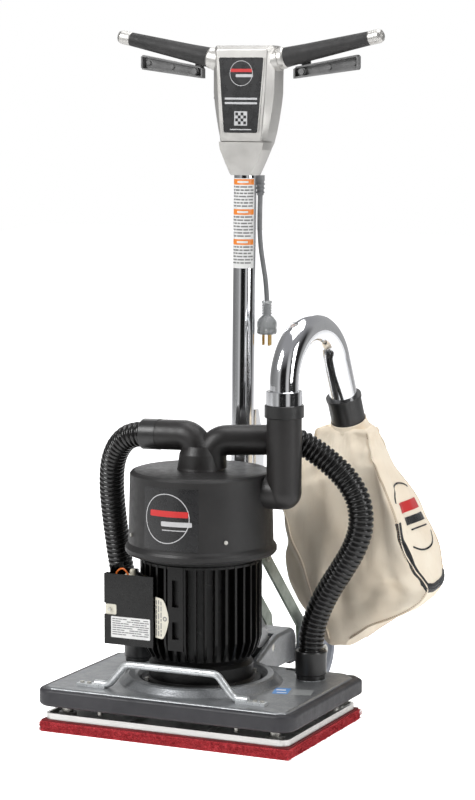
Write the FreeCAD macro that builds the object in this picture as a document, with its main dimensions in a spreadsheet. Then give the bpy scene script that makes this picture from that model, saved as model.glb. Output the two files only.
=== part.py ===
import FreeCAD, Part
import math
import os
import re

import Sketcher

# An upright orbital floor sander with a rectangular pad. Millimetres, +Z up, +X to the operator's
# right, +Y to the rear, where the operator stands. The origin is on the floor under the pad's centre.

SIZES = {
    # sanding pad, its thin backing and the driver plate above them
    "pad_length": 457.2, "pad_width": 304.8, "pad_thick": 17.5,
    "backing_length": 450, "backing_width": 298, "backing_thick": 3,
    "plate_length": 444, "plate_width": 292, "plate_bottom": 20.5, "plate_top": 31,
    "plate_floor": 4, "plate_rim": 5, "plate_corner": 14,
    "orbit_radius": 3.2, "pin_radius": 12.5, "bearing_radius": 26, "bearing_width": 15,
    "hub_radius": 40, "hub_top": 48, "isolator_along": 190, "isolator_across": 120,
    "stud_along": 125, "stud_across": 128,
    # deck casting and rubber bumper
    "deck_length": 444, "deck_width": 304, "deck_bottom": 47, "deck_top": 77, "deck_wall": 8,
    "deck_corner": 18, "rear_chamfer": 22, "deck_edge": 5,
    "bumper_length": 468, "bumper_width": 320, "bumper_bottom": 45, "bumper_top": 74,
    "bumper_corner": 30, "bumper_edge": 6,
    "ring_outer": 138, "ring_crest": 122, "ring_inner": 112.5, "ring_top": 91,
    "tail_outer": 50, "tail_inner": 40, "tail_end": 279, "tail_bottom": 62, "tail_top": 119,
    # motor
    "motor_bore": 78, "motor_core": 86, "fin_radius": 102, "fin_thick": 4.2, "fin_count": 36,
    "frame_bottom": 118, "frame_top": 288, "bell_radius": 88,
    "lower_bearing": 85, "upper_bearing": 282,
    # dust fan, its shroud, the manifold above and the exhaust stack beside it
    "shroud_top": 437, "shroud_radius": 118.5, "shroud_foot": 121.5, "lip_radius": 127, "lip_bottom": 298,
    "pipe_radius": 25.3, "pipe_wall": 2.8, "manifold_height": 489,
    "stack_x": 148, "stack_y": 8, "stack_radius": 29, "stack_elbow": 407, "stack_top": 531,
    "duct_radius": 27.5, "clamp_radius": 32.5, "clamp_top": 552, "collar_radius": 29.7, "collar_top": 575,
    "u_radius": 23.8, "u_wall": 1.6, "u_bend": 87, "u_start": 584, "u_turn": 158, "u_heading": 7,
    "u_leg": 108, "cuff_radius": 29, "cuff_length": 56,
    "hose_radius": 21.5, "hose_bore": 17.5, "socket_x": 162, "socket_y": 90,
    "socket_radius": 27, "socket_bottom": 78, "socket_top": 126,
    # wheels, handle pivot and struts
    "wheel_radius": 63.5, "wheel_inner": 48, "wheel_outer": 72, "axle_y": 346, "axle_z": 66,
    "axle_radius": 6, "pivot_y": 185, "pivot_z": 100, "pivot_radius": 6,
    "strut_inner": 28.5, "strut_thick": 5, "strut_width": 25,
    "bolt_y": 191, "bolt_z": 257, "bolt_radius": 4, "handle_range": 40, "strut_ratio": 1.15,
    # handle tube and what it carries, in the tube's own leaning frame
    "tube_foot_y": 152.4, "tube_lean": 0.0254, "tube_radius": 19.05, "tube_wall": 1.8,
    "tube_bottom": 112, "tube_top": 950,
    "head_front": -21, "head_split": 20, "head_back": 33, "head_top": 1138, "head_ledge": 971,
    "head_bottom": 919, "grip_slope": 39, "cord_radius": 4.1,
    "lift_rod": 6, "lift_y": -115, "lift_top": 120,
}

doc = FreeCAD.newDocument("orbital_floor_sander")
sheet = doc.addObject("Spreadsheet::Sheet", "Sizes")
for row, (alias, amount) in enumerate(SIZES.items(), start=1):
    sheet.set(f"A{row}", alias)
    sheet.set(f"B{row}", str(amount))
    sheet.setAlias(f"B{row}", alias)
doc.recompute()

nodes = []


# ---- helpers ----

def size(alias):
    """The number that the sheet holds for one dimension."""
    return float(sheet.get(alias))


def formula(words):
    """A sheet expression: every alias in the words gets the sheet's name in front of it."""
    return re.sub(r"[a-z_]+", lambda found: "Sizes." + found[0] if found[0] in SIZES else found[0], str(words))


def bind(thing, **sizes):
    """Tie an object's properties to expressions of the sheet's dimensions."""
    for name, words in sizes.items():
        thing.setExpression(name, formula(words))
    return thing


def place(thing, at, turn=None):
    """Put a primitive at a place given as three expressions, turned by an optional rotation."""
    if turn:
        thing.Placement = FreeCAD.Placement(FreeCAD.Vector(), turn)
    for axis, words in zip("xyz", at):
        thing.setExpression(f"Placement.Base.{axis}", formula(words))
    return thing


def keep(label, thing):
    """Give a finished sub-part its label, which names its file."""
    thing.Label = label
    nodes.append(thing)
    return thing


def box(name, length, width, height, at):
    """A block centred in x and y on a place, standing on its z."""
    block = bind(doc.addObject("Part::Box", name), Length=length, Width=width, Height=height)
    x, y, z = at
    return place(block, (f"({x}) - ({length}) / 2", f"({y}) - ({width}) / 2", z))


AXIS_TURNS = {
    "x": FreeCAD.Rotation(FreeCAD.Vector(0, 1, 0), 90),
    "y": FreeCAD.Rotation(FreeCAD.Vector(1, 0, 0), -90),
    "z": None,
}


def cylinder(name, radius, height, at, axis="z"):
    """A cylinder that starts at a place and runs along an axis."""
    return place(bind(doc.addObject("Part::Cylinder", name), Radius=radius, Height=height), at, AXIS_TURNS[axis])


def cut(name, base, *tools):
    """The base with every tool taken away."""
    for number, tool in enumerate(tools, start=1):
        step = doc.addObject("Part::Cut", name if number == len(tools) else f"{name}_step{number}")
        step.Base = base
        step.Tool = tool
        base = step
    return base


def fuse(name, *parts):
    """Several shapes joined into one."""
    joined = doc.addObject("Part::MultiFuse", name)
    joined.Shapes = list(parts)
    joined.Refine = True
    return joined


def group(name, *parts, frame=None):
    """Separate solids kept in one node, with an optional placement for all of them."""
    gathered = doc.addObject("Part::Compound", name)
    gathered.Links = list(parts)
    if frame:
        gathered.Placement = frame
    return gathered


def rounded(name, base, radius, wanted):
    """The base with the edges that the test picks rounded to one radius."""
    doc.recompute()
    soft = doc.addObject("Part::Fillet", name)
    soft.Base = base
    soft.Edges = [(n, radius, radius) for n, edge in enumerate(base.Shape.Edges, start=1) if wanted(edge)]
    return soft


def upright(edge):
    """Whether an edge is a straight vertical one."""
    low, high = edge.BoundBox.ZMin, edge.BoundBox.ZMax
    return edge.BoundBox.XLength < 0.01 and edge.BoundBox.YLength < 0.01 and high - low > 1


def outline(body, plane, corners):
    """A closed sketch on one of the body's planes, every corner tied to the sheet by two dimensions."""
    sketch = body.newObject("Sketcher::SketchObject", body.Name + "_outline")
    support = next(f for f in body.Origin.OriginFeatures if f.Role == plane)
    sketch.AttachmentSupport = [(support, "")]
    sketch.MapMode = "FlatFace"
    spots = [[amount_of(words) for words in corner] for corner in corners]
    for here, there in zip(spots, spots[1:] + spots[:1]):
        line = Part.LineSegment(FreeCAD.Vector(*here, 0), FreeCAD.Vector(*there, 0))
        sketch.addGeometry(line, False)
    for n in range(len(corners)):
        sketch.addConstraint(Sketcher.Constraint("Coincident", n, 2, (n + 1) % len(corners), 1))
    for n, (corner, spot) in enumerate(zip(corners, spots)):
        for kind, words, amount in zip(("DistanceX", "DistanceY"), corner, spot):
            index = sketch.addConstraint(Sketcher.Constraint(kind, -1, 1, n, 1, amount))
            label = f"{kind[-1].lower()}_corner_{n}"
            sketch.renameConstraint(index, label)
            sketch.setExpression("Constraints." + label, formula(words))
    return sketch


def amount_of(words):
    """The number that an expression gives now."""
    return float(sheet.evalExpression(formula(words)))


def prism(name, plane, corners, thickness, at=(0, 0, 0)):
    """An outline made solid to both sides of its plane, as a PartDesign body."""
    body = doc.addObject("PartDesign::Body", name)
    sketch = outline(body, plane, corners)
    pad = body.newObject("PartDesign::Pad", name + "_pad")
    pad.Profile = sketch
    pad.SideType = "Symmetric"
    bind(pad, Length=thickness)
    return place(body, at)


def turned(name, corners, at=(0, 0, 0)):
    """A half outline of radius and height, revolved about Z, as a PartDesign body."""
    body = doc.addObject("PartDesign::Body", name)
    sketch = outline(body, "XZ_Plane", corners)
    revolution = body.newObject("PartDesign::Revolution", name + "_revolution")
    revolution.Profile = sketch
    revolution.ReferenceAxis = (sketch, ["V_Axis"])
    revolution.Angle = 360
    return place(body, at)


def computed(name, shape):
    """A shape worked out by code, for sweeps and lofts."""
    feature = doc.addObject("Part::Feature", name)
    feature.Shape = shape
    return feature


def bent_wire(points, radius=None):
    """Straight runs joined by tangent arcs. With no radius, each arc is as large as its runs allow."""
    points = [FreeCAD.Vector(*point) for point in points]
    edges = []
    radii = []
    start = points[0]
    for before, corner, after in zip(points, points[1:], points[2:]):
        inward = (corner - before).normalize()
        outward = (after - corner).normalize()
        half_turn = inward.getAngle(outward) / 2
        shorter = min((corner - before).Length, (after - corner).Length)
        reach = radius * math.tan(half_turn) if radius else 0.45 * shorter
        arc_radius = reach / math.tan(half_turn)
        first = corner - inward * reach
        last = corner + outward * reach
        bulge = (first + last) / 2 - corner
        middle = corner + bulge.normalize() * (arc_radius / math.cos(half_turn) - arc_radius)
        edges.append(Part.LineSegment(start, first).toShape())
        edges.append(Part.Arc(first, middle, last).toShape())
        radii.append(round(arc_radius))
        start = last
    edges.append(Part.LineSegment(start, points[-1]).toShape())
    return Part.Wire(edges), radii


def swept(wire, radius):
    """A round section carried along a wire, with its volume checked against section times length."""
    first = wire.Edges[0]
    heading = first.tangentAt(first.FirstParameter)
    ring = Part.Wire([Part.makeCircle(radius, wire.Vertexes[0].Point, heading)])
    shape = wire.makePipeShell([ring], True, False)
    expected = math.pi * radius ** 2 * wire.Length
    if abs(shape.Volume / expected - 1) > 0.01:
        raise ValueError(f"sweep volume {shape.Volume:.0f} differs from {expected:.0f}")
    return shape


def hollow_sweep(name, wire, radius, bore):
    """A pipe along a wire."""
    return computed(name, swept(wire, radius).cut(swept(wire, bore)))


def flat_bar(name, points, width, thickness, middle_x):
    """A flat bar in a plane of constant x: runs along points of (y, z) with round ends and bends."""
    parts = []
    for (y_one, z_one), (y_two, z_two) in zip(points, points[1:]):
        length = math.hypot(y_two - y_one, z_two - z_one)
        slope = math.degrees(math.atan2(z_two - z_one, y_two - y_one))
        run = Part.makeBox(thickness, length, width, FreeCAD.Vector(-thickness / 2, 0, -width / 2))
        run.Placement = FreeCAD.Placement(
            FreeCAD.Vector(middle_x, y_one, z_one), FreeCAD.Rotation(FreeCAD.Vector(1, 0, 0), slope))
        parts.append(run)
    for y, z in points:
        corner = FreeCAD.Vector(middle_x - thickness / 2, y, z)
        parts.append(Part.makeCylinder(width / 2, thickness, corner, FreeCAD.Vector(1, 0, 0)))
    return computed(name, parts[0].fuse(parts[1:]).removeSplitter())


def mirrored_pair(maker):
    """Make a sub-part for the left and the right side."""
    for side, sign in (("left", -1), ("right", 1)):
        maker(side, sign)


def corner_places(along, across):
    """The four places at plus and minus two distances."""
    return [(sx * along, sy * across) for sx in (-1, 1) for sy in (-1, 1)]


# ---- sanding pad, driver plate and orbital drive ----

def make_pad_group():
    keep("sanding_pad", box("pad_block", "pad_length", "pad_width", "pad_thick", (0, 0, 0)))
    keep("pad_backing", box("backing_block", "backing_length", "backing_width", "backing_thick",
                            (0, 0, "pad_thick")))
    slab = box("plate_slab", "plate_length", "plate_width", "plate_top - plate_bottom", (0, 0, "plate_bottom"))
    slab = rounded("plate_round", slab, size("plate_corner"), upright)
    tray = box("plate_tray", "plate_length - 2 * plate_rim", "plate_width - 2 * plate_rim", 20,
               (0, 0, "plate_bottom + plate_floor"))
    tray = rounded("tray_round", tray, size("plate_corner") - size("plate_rim"), upright)
    ribs = [box("plate_long_rib", "plate_length - 8", 12, 7, (0, 0, "plate_bottom + 3"))]
    for n, x in enumerate((-70, 70)):
        ribs.append(box(f"plate_cross_rib{n}", 12, "plate_width - 8", 7, (x, 0, "plate_bottom + 3")))
    for n, (x, y) in enumerate(corner_places(size("isolator_along"), size("isolator_across"))):
        ribs.append(cylinder(f"plate_boss{n}", 15, "plate_top - plate_bottom - 3", (x, y, "plate_bottom + 3")))
    hub = cylinder("plate_hub", "hub_radius", "hub_top - plate_bottom - 3", ("orbit_radius", 0, "plate_bottom + 3"))
    bore = cylinder("hub_bore", "bearing_radius", 40, ("orbit_radius", 0, "hub_top - bearing_width - 1"))
    pin_room = cylinder("hub_pin_room", 18, 40, ("orbit_radius", 0, "plate_bottom + 6"))
    body = fuse("plate_body", cut("plate_shell", slab, tray), *ribs, hub)
    keep("pad_plate", cut("plate_bored", body, bore, pin_room))
    bearing = turned("pad_bearing_ring", [
        ("pin_radius + 0.05", 0), ("bearing_radius", 0), ("bearing_radius", "bearing_width"),
        ("pin_radius + 6", "bearing_width"), ("pin_radius + 6", "bearing_width - 1"),
        ("pin_radius + 4", "bearing_width - 1"), ("pin_radius + 4", "bearing_width"),
        ("pin_radius + 0.05", "bearing_width"),
    ], ("orbit_radius", 0, "hub_top - bearing_width - 1"))
    keep("pad_bearing", bearing)


def make_isolators():
    sleeves = []
    rubbers = []
    studs = []
    for n, (x, y) in enumerate(corner_places(size("isolator_along"), size("isolator_across"))):
        sleeves.append(cylinder(f"sleeve{n}", 9.5, "deck_bottom - plate_top + 3", (x, y, "plate_top + 0.4")))
        rubbers.append(cylinder(f"isolator{n}", 15, 18.6, (x, y, "deck_top - deck_wall - 18.6")))
    for n, (x, y) in enumerate(corner_places(size("stud_along"), size("stud_across"))):
        studs.append(cylinder(f"stud{n}", 4.5, "deck_top - deck_wall - plate_top - 0.4", (x, y, "plate_top + 0.4")))
    keep("isolator_studs", group("stud_group", *sleeves, *studs))
    keep("isolator_rubbers", group("isolator_group", *rubbers))


# ---- deck ----

def deck_prism(name, length, width, chamfer, height, at):
    """A plan outline with chamfered rear corners, as a plate."""
    corners = [
        (f"-({length}) / 2", f"-({width}) / 2"), (f"({length}) / 2", f"-({width}) / 2"),
        (f"({length}) / 2", f"({width}) / 2 - {chamfer}"), (f"({length}) / 2 - {chamfer}", f"({width}) / 2"),
        (f"{chamfer} - ({length}) / 2", f"({width}) / 2"), (f"-({length}) / 2", f"({width}) / 2 - {chamfer}"),
    ]
    return prism(name, "XY_Plane", corners, height, (0, 0, f"({at}) + ({height}) / 2"))


def front_corner(edge):
    """Whether an edge is a vertical one at the front of the plan."""
    return upright(edge) and edge.BoundBox.YMin < 0


def level_at(height):
    """A test for edges that lie level at a height."""
    return lambda edge: edge.BoundBox.ZLength < 0.01 and abs(edge.BoundBox.ZMin - height) < 0.01


def make_housing():
    outer = deck_prism("deck_outer", "deck_length", "deck_width", "rear_chamfer",
                       "deck_top - deck_bottom", "deck_bottom")
    outer = rounded("deck_outer_round", outer, size("deck_corner"), front_corner)
    outer = rounded("deck_edge_round", outer, size("deck_edge"), level_at(size("deck_top")))
    inner = deck_prism("deck_inner", "deck_length - 2 * deck_wall", "deck_width - 2 * deck_wall",
                       "rear_chamfer - 3", "deck_top - deck_bottom - deck_wall + 2", "deck_bottom - 2")
    inner = rounded("deck_inner_round", inner, size("deck_corner") - size("deck_wall"), front_corner)
    ring = turned("ring", [
        (100, "deck_top - deck_wall + 1"), ("ring_outer", "deck_top - deck_wall + 1"), ("ring_outer", "deck_top"),
        ("ring_outer - 4", "deck_top + 2"), ("ring_crest + 4", "ring_top - 2.5"), ("ring_crest", "ring_top"),
        ("ring_inner", "ring_top"), ("ring_inner - 5", "ring_top - 2"), ("ring_inner - 9", "ring_top - 8"),
        ("ring_inner - 12", "deck_top"), (100, "deck_top"),
    ])
    side_shape = [
        (122, "deck_top - 4"), (146, "deck_top - 4"), (156, "tail_bottom"), ("tail_end", "tail_bottom"),
        ("tail_end + 8", "tail_bottom + 30"), ("tail_end + 6", "tail_top - 15"), ("tail_end", "tail_top - 5"),
        ("tail_end - 9", "tail_top"), (208, "tail_top"), (172, "ring_top + 17"), (140, "ring_top + 5"),
        (122, "ring_top - 1"),
    ]
    wall = "tail_outer - tail_inner"
    walls = [
        prism(f"tail_wall{n}", "YZ_Plane", side_shape, wall, (f"({sign}) * (tail_outer + tail_inner) / 2", 0, 0))
        for n, sign in enumerate((-1, 1))]
    floor = box("tail_floor", "2 * tail_inner + 2", "tail_end - 144", 8, (0, "(tail_end + 144) / 2", "tail_bottom"))
    rear_wall = box("tail_rear_wall", "2 * tail_inner + 2", 8, "tail_top - tail_bottom - 6",
                    (0, "tail_end - 4", "tail_bottom"))
    roof = box("tail_roof", "2 * tail_inner + 2", "tail_end - 220", 6, (0, "(tail_end + 202) / 2", "tail_top - 6"))
    tail = fuse("tail_casting", *walls, floor, rear_wall, roof)
    tail_side = size("tail_outer")
    tail = rounded("tail_round", tail, 6, lambda edge: abs(edge.BoundBox.XMin) > tail_side - 0.1
                   and edge.BoundBox.XLength < 0.1 and edge.BoundBox.ZMax > 90 and edge.BoundBox.YMin > 139)
    arms = []
    for n, sign in enumerate((-1, 1)):
        x = f"({sign}) * 42"
        arms.append(box(f"axle_arm{n}", 7, "axle_y - tail_end + 12", 24,
                        (x, "(axle_y + tail_end - 12) / 2", "axle_z - 12")))
        arms.append(cylinder(f"axle_boss{n}", 13, 7, (f"{x} - 3.5", "axle_y", "axle_z"), "x"))
    seats = []
    for n, sign in enumerate((-1, 1)):
        seats.append(cylinder(f"hose_seat{n}", "socket_radius - 2", 3,
                              (f"({sign}) * socket_x", "socket_y", "deck_top - 2")))
    body = fuse("housing_body", cut("deck_shell", outer, inner), ring, tail, *arms, *seats)
    holes = [
        cylinder("shaft_hole", 46, 60, (0, 0, 50)),
        cylinder("pivot_hole", "pivot_radius + 0.05", 120, (-60, "pivot_y", "pivot_z"), "x"),
        cylinder("axle_hole", "axle_radius + 0.05", 120, (-60, "axle_y", "axle_z"), "x"),
    ]
    for n, sign in enumerate((-1, 1)):
        holes.append(cylinder(f"hose_hole{n}", "socket_radius - 4.7", 60,
                              (f"({sign}) * socket_x", "socket_y", "deck_bottom")))
    keep("housing", cut("housing_bored", body, *holes))


def make_bumper():
    outer = deck_prism("bumper_outer", "bumper_length", "bumper_width", "rear_chamfer + 4",
                       "bumper_top - bumper_bottom", "bumper_bottom")
    outer = rounded("bumper_outer_round", outer, size("bumper_corner"), front_corner)
    soft_heights = (size("bumper_bottom"), size("bumper_top"))
    outer = rounded("bumper_edge_round", outer, size("bumper_edge"),
                    lambda edge: any(level_at(height)(edge) for height in soft_heights))
    inner = deck_prism("bumper_inner", "deck_length", "deck_width", "rear_chamfer",
                       "bumper_top - bumper_bottom + 10", "bumper_bottom - 5")
    inner = rounded("bumper_inner_round", inner, size("deck_corner"), front_corner)
    tail_gap = box("bumper_tail_gap", "2 * tail_outer + 2", 40, 40, (0, "bumper_width / 2", "tail_bottom - 1"))
    keep("bumper", cut("bumper_band", outer, inner, tail_gap))


def make_lift_handle():
    y = size("lift_y")
    low = size("deck_top") + size("lift_rod")
    top = size("lift_top")
    wire, _ = bent_wire([(-140, y, low), (-114, y, low), (-84, y, top), (84, y, top), (114, y, low), (140, y, low)],
                        18)
    rod = computed("lift_rod_sweep", swept(wire, size("lift_rod")))
    tabs = [box(f"lift_tab{n}", 52, 15, 5, (x, y, "deck_top")) for n, x in enumerate((-146, 146))]
    keep("lift_handle", fuse("lift_handle_body", rod, *tabs))


# ---- motor ----

def make_motor_frame():
    body = doc.addObject("PartDesign::Body", "frame_casting")
    sketch = outline(body, "XZ_Plane", [
        ("motor_bore", "frame_bottom"), ("motor_core - 4", "frame_bottom"), ("motor_core", "frame_bottom + 8"),
        ("motor_core", "frame_top - 4"), ("fin_radius - 1", "frame_top - 4"), ("fin_radius - 1", "frame_top"),
        ("motor_bore", "frame_top"),
    ])
    shell = body.newObject("PartDesign::Revolution", "frame_shell")
    shell.Profile = sketch
    shell.ReferenceAxis = (sketch, ["V_Axis"])
    shell.Angle = 360
    fin_sketch = outline(body, "XZ_Plane", [
        ("motor_core - 2", "frame_bottom + 8"), ("motor_core + 3", "frame_bottom + 8"),
        ("fin_radius - 5", "frame_bottom + 22"), ("fin_radius", "frame_bottom + 40"),
        ("fin_radius", "frame_top"), ("motor_core - 2", "frame_top"),
    ])
    fin = body.newObject("PartDesign::Pad", "fin")
    fin.Profile = fin_sketch
    fin.SideType = "Symmetric"
    bind(fin, Length="fin_thick")
    doc.recompute()
    ring = body.newObject("PartDesign::PolarPattern", "fins")
    ring.Originals = [fin]
    ring.Axis = (sketch, ["V_Axis"])
    ring.Angle = 360
    ring.Occurrences = int(size("fin_count"))
    body.Tip = ring
    columns = []
    slots = []
    for n in range(2):
        turn = FreeCAD.Rotation(FreeCAD.Vector(0, 0, 1), 180 * n)
        column = bind(doc.addObject("Part::Box", f"bolt_column{n}"), Length=28, Width=18,
                      Height="frame_top - frame_bottom - 30")
        column.Placement = FreeCAD.Placement(
            turn.multVec(FreeCAD.Vector(-12, -size("fin_radius"), size("frame_bottom") + 30)), turn)
        columns.append(column)
        for low, high in ((167, 196), (221, 266)):
            slot = bind(doc.addObject("Part::Box", f"column_slot{n}"), Length=12, Width=9, Height=high - low)
            slot.Placement = FreeCAD.Placement(
                turn.multVec(FreeCAD.Vector(-4, -size("fin_radius") - 1, low)), turn)
            slots.append(slot)
    keep("motor_frame", cut("frame_slotted", fuse("frame_body", body, *columns), group("column_slots", *slots)))


def make_motor():
    make_motor_frame()
    keep("lower_end_bell", turned("lower_bell", [
        (18, "deck_top"), (100, "deck_top"), (100, "deck_top + 8"), (92, "deck_top + 8"), ("bell_radius", "deck_top + 12"),
        ("bell_radius", "frame_bottom - 6"), ("bell_radius - 6", "frame_bottom"), ("motor_bore", "frame_bottom"),
        ("motor_bore", "deck_top + 12"), (36, "deck_top + 12"), (36, "lower_bearing + bearing_width"),
        ("bearing_radius", "lower_bearing + bearing_width"), ("bearing_radius", "lower_bearing"),
        (18, "lower_bearing"),
    ]))
    keep("upper_end_bell", turned("upper_bell", [
        (36, "upper_bearing"), ("bearing_radius", "upper_bearing"), ("bearing_radius", "upper_bearing + bearing_width"),
        (18, "upper_bearing + bearing_width"), (18, "frame_top + 15"), ("fin_radius - 4", "frame_top + 15"),
        ("fin_radius - 4", "frame_top"), (36, "frame_top"),
    ]))
    rings = []
    for bottom in ("lower_bearing", "upper_bearing"):
        rings.append(turned(bottom + "_ring", [
            ("pin_radius + 0.05", 0), ("bearing_radius", 0), ("bearing_radius", "bearing_width"),
            ("pin_radius + 0.05", "bearing_width"),
        ], (0, 0, bottom)))
    keep("motor_bearings", group("bearing_pair", *rings))
    keep("stator", turned("stator_stack", [
        (49, 150), (58, 150), (62, 140), (72, 140), (76, 155), ("motor_bore", 155), ("motor_bore", 255), (76, 255),
        (72, 270), (62, 270), (58, 260), (49, 260),
    ]))
    keep("rotor_core", turned("rotor_stack", [
        ("pin_radius", 152), (48, 152), (48, 258), ("pin_radius", 258),
    ]))
    shaft = cylinder("shaft_main", "pin_radius", 360, (0, 0, 66))
    web = cylinder("shaft_web", 17, 14, (0, 0, 53))
    pin = cylinder("eccentric_pin", "pin_radius", 26, ("orbit_radius", 0, 33))
    keep("motor_shaft", fuse("shaft_body", shaft, web, pin))
    disc = cylinder("weight_disc", 42, 10, (0, 0, 55))
    half = box("weight_half", 60, 100, 20, (34, 0, 50))
    shaft_room = cylinder("weight_bore", 17, 30, (0, 0, 50))
    keep("counterweight", cut("weight_cut", disc, half, shaft_room))


def fan_wheel(name, radius, bottom, height, blades):
    """A fan wheel: a hub, a back plate and straight radial blades."""
    hub = cylinder(name + "_hub", 22, height, (0, 0, bottom))
    plate = cylinder(name + "_plate", radius, 2.5, (0, 0, bottom))
    vanes = []
    for n in range(blades):
        vane = bind(doc.addObject("Part::Box", f"{name}_vane{n}"), Length=radius - 30, Width=2, Height=height - 1)
        turn = FreeCAD.Rotation(FreeCAD.Vector(0, 0, 1), 360 * n / blades)
        vane.Placement = FreeCAD.Placement(turn.multVec(FreeCAD.Vector(28, -1, bottom + 1)), turn)
        vanes.append(vane)
    bore = cylinder(name + "_bore", "pin_radius", height + 10, (0, 0, bottom - 5))
    spokes = fuse(name + "_wheel", hub, plate, *vanes)
    return cut(name + "_bored", spokes, bore)


def make_dust_fan():
    keep("cooling_fan", fan_wheel("cooling", 84, 312, 26, 10))
    keep("dust_impeller", fan_wheel("impeller", 94, 366, 46, 12))
    plates = []
    for n, (radius, bottom) in enumerate(((117, 303.2), (114, 352))):
        plates.append(turned(f"fan_plate{n}", [
            (16, bottom), (radius, bottom), (radius, bottom + 3), (16, bottom + 3)]))
    keep("fan_plates", group("fan_plate_pair", *plates))
    shell = turned("shroud_shell", [
        (31, "shroud_top"), (111, "shroud_top - 1"), (115.5, "shroud_top - 2.5"), ("shroud_radius", "shroud_top - 6"),
        ("shroud_foot", "lip_bottom + 18"), ("lip_radius - 2", "lip_bottom + 14"), ("lip_radius", "lip_bottom + 10"),
        ("lip_radius", "lip_bottom + 4"), ("lip_radius - 3", "lip_bottom"), ("shroud_foot", "lip_bottom"),
        ("shroud_foot - 4", "lip_bottom + 4"), ("shroud_radius - 4", "shroud_top - 15"), (104, "shroud_top - 8"),
        (31, "shroud_top - 5"),
    ])
    heading = FreeCAD.Vector(size("stack_x"), size("stack_y"), 0).normalize()
    start = heading * 90 + FreeCAD.Vector(0, 0, size("stack_elbow") - 2)
    outlet = computed("outlet_hole", Part.makeCylinder(size("duct_radius"), 60, start, heading))
    keep("fan_shroud", cut("shroud_pierced", shell, outlet))


def make_junction_box():
    def hollow(name, inset, bottom, height, radius):
        block = box(name + "_block", 88 - 2 * inset, 62 - 2 * inset, height, (-84, -69, bottom))
        return cut(name, block, cylinder(name + "_round", radius, height + 20, (0, 0, bottom - 10)))

    shell = cut("box_shell", hollow("box_outer", 0, 150, 117, 104.5), hollow("box_inner", 2, 152, 140, 106.5))
    lip = box("box_lip", 2, 46, 10, (-127, -61, 266))
    keep("junction_box", fuse("box_body", shell, lip))
    cover = box("cover_sheet", 90, 1.6, 119, (-84, -101.2, 149))
    flange = box("cover_flange", 1.4, 14, 119, (-129.2, -95, 149))
    notch = box("cover_notch", 30, 12, 19, (-122, -101.2, 199))
    keep("junction_box_cover", cut("cover_notched", fuse("cover_body", cover, flange), notch))
    keep("capacitor", cylinder("capacitor_can", 15, 96, (-108, -68, 152.5)))
    routes = [
        [(-100, -91, 236), (-101, -92, 258), (-92, -92.5, 270), (-76, -92, 262), (-66, -92, 240)],
        [(-114, -90, 240), (-115, -90, 264), (-106, -91, 276), (-92, -94, 276), (-83, -94, 255)],
    ]
    wires = []
    for n, route in enumerate(routes):
        wire, _ = bent_wire(route)
        wires.append(computed(f"lead{n}", swept(wire, 1.6)))
    nut = turned("wire_nut", [(0, 0), (6.5, 0), (6.5, 6), (4, 20), (0, 20)], (-88, -79, 254))
    keep("motor_leads", group("lead_group", *wires, nut))


# ---- dust pipes, hoses, U-tube and bag ----

RIGHT_HOSE = [
    (122.2, 58.3, 486), (144, 69.9, 486), (169, 81, 469), (197, 90, 447), (226, 94, 420), (247, 94.5, 386),
    (252, 93.5, 344), (239, 92.5, 304), (215, 92, 265), (188, 91.5, 223), (169, 90.5, 180), (162, 90, 146),
    (162, 90, 120),
]
LEFT_HOSE = [
    (-97, 0, 490), (-126, 1, 489), (-155, 9, 471), (-176, 21, 440), (-187, 35, 400), (-191.5, 49, 356),
    (-193, 63, 310), (-193, 75, 264), (-189, 83, 220), (-178, 88, 180), (-162.5, 90, 150), (-162, 90, 120),
]
CUFF_GRIP = 22


def hose_start(route):
    """Where a hose leaves the manifold and its direction there."""
    start = FreeCAD.Vector(*route[0])
    return start, (FreeCAD.Vector(*route[1]) - start).normalize()


def make_manifold():
    outer = size("pipe_radius")
    inner = outer - size("pipe_wall")
    walls = []
    spaces = []
    for route in (LEFT_HOSE, RIGHT_HOSE):
        start, heading = hose_start(route)
        corner = start - heading * (93 if route is LEFT_HOSE else 118)
        wire, _ = bent_wire([(corner.x, corner.y, 440), corner, start - heading * CUFF_GRIP], 26)
        walls.append(swept(wire, outer))
        spaces.append(swept(wire, inner))
    neck = turned("manifold_neck", [
        (0, "shroud_top"), (40, "shroud_top"), (39, "shroud_top + 4"), (36, "shroud_top + 26"),
        (30, "shroud_top + 40"), (0, "shroud_top + 40")])
    throat = cylinder("manifold_throat", 30.5, 24, (0, 0, "shroud_top - 3"))
    body = fuse("manifold_body", computed("manifold_pipes", walls[0].fuse(walls[1])), neck)
    bores = computed("manifold_spaces", spaces[0].fuse(spaces[1]))
    keep("intake_manifold", cut("manifold_bored", body, bores, throat))


def make_hoses():
    cuffs = []
    for side, sign, route in (("left", -1, LEFT_HOSE), ("right", 1, RIGHT_HOSE)):
        wire, radii = bent_wire(route)
        print(f"{side} hose: length {wire.Length:.0f}, bend radii {radii}")
        keep(f"hose_{side}", hollow_sweep(f"hose_{side}_tube", wire, size("hose_radius"), size("hose_bore")))
        start, heading = hose_start(route)
        outside = Part.makeCylinder(size("pipe_radius") + 0.6, CUFF_GRIP + 8, start - heading * CUFF_GRIP, heading)
        inside = Part.makeCylinder(size("hose_radius"), 30, start, heading)
        passage = Part.makeCylinder(size("hose_bore"), 60, start - heading * 30, heading)
        cuffs.append(computed(f"manifold_cuff_{side}", outside.cut([inside, passage])))
        cuffs.append(turned(f"socket_{side}", [
            (17, "socket_bottom"), ("socket_radius - 2.5", "socket_bottom"),
            ("socket_radius - 2.5", "socket_bottom + 7"), ("socket_radius - 0.5", "socket_bottom + 9"),
            ("socket_radius", "socket_top - 2"), ("socket_radius - 1", "socket_top"), ("hose_radius", "socket_top"),
            ("hose_radius", "socket_top - 6"), (17, "socket_top - 6"),
        ], (f"({sign}) * socket_x", "socket_y", 0)))
    keep("hose_cuffs", group("hose_cuff_group", *cuffs))


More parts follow.
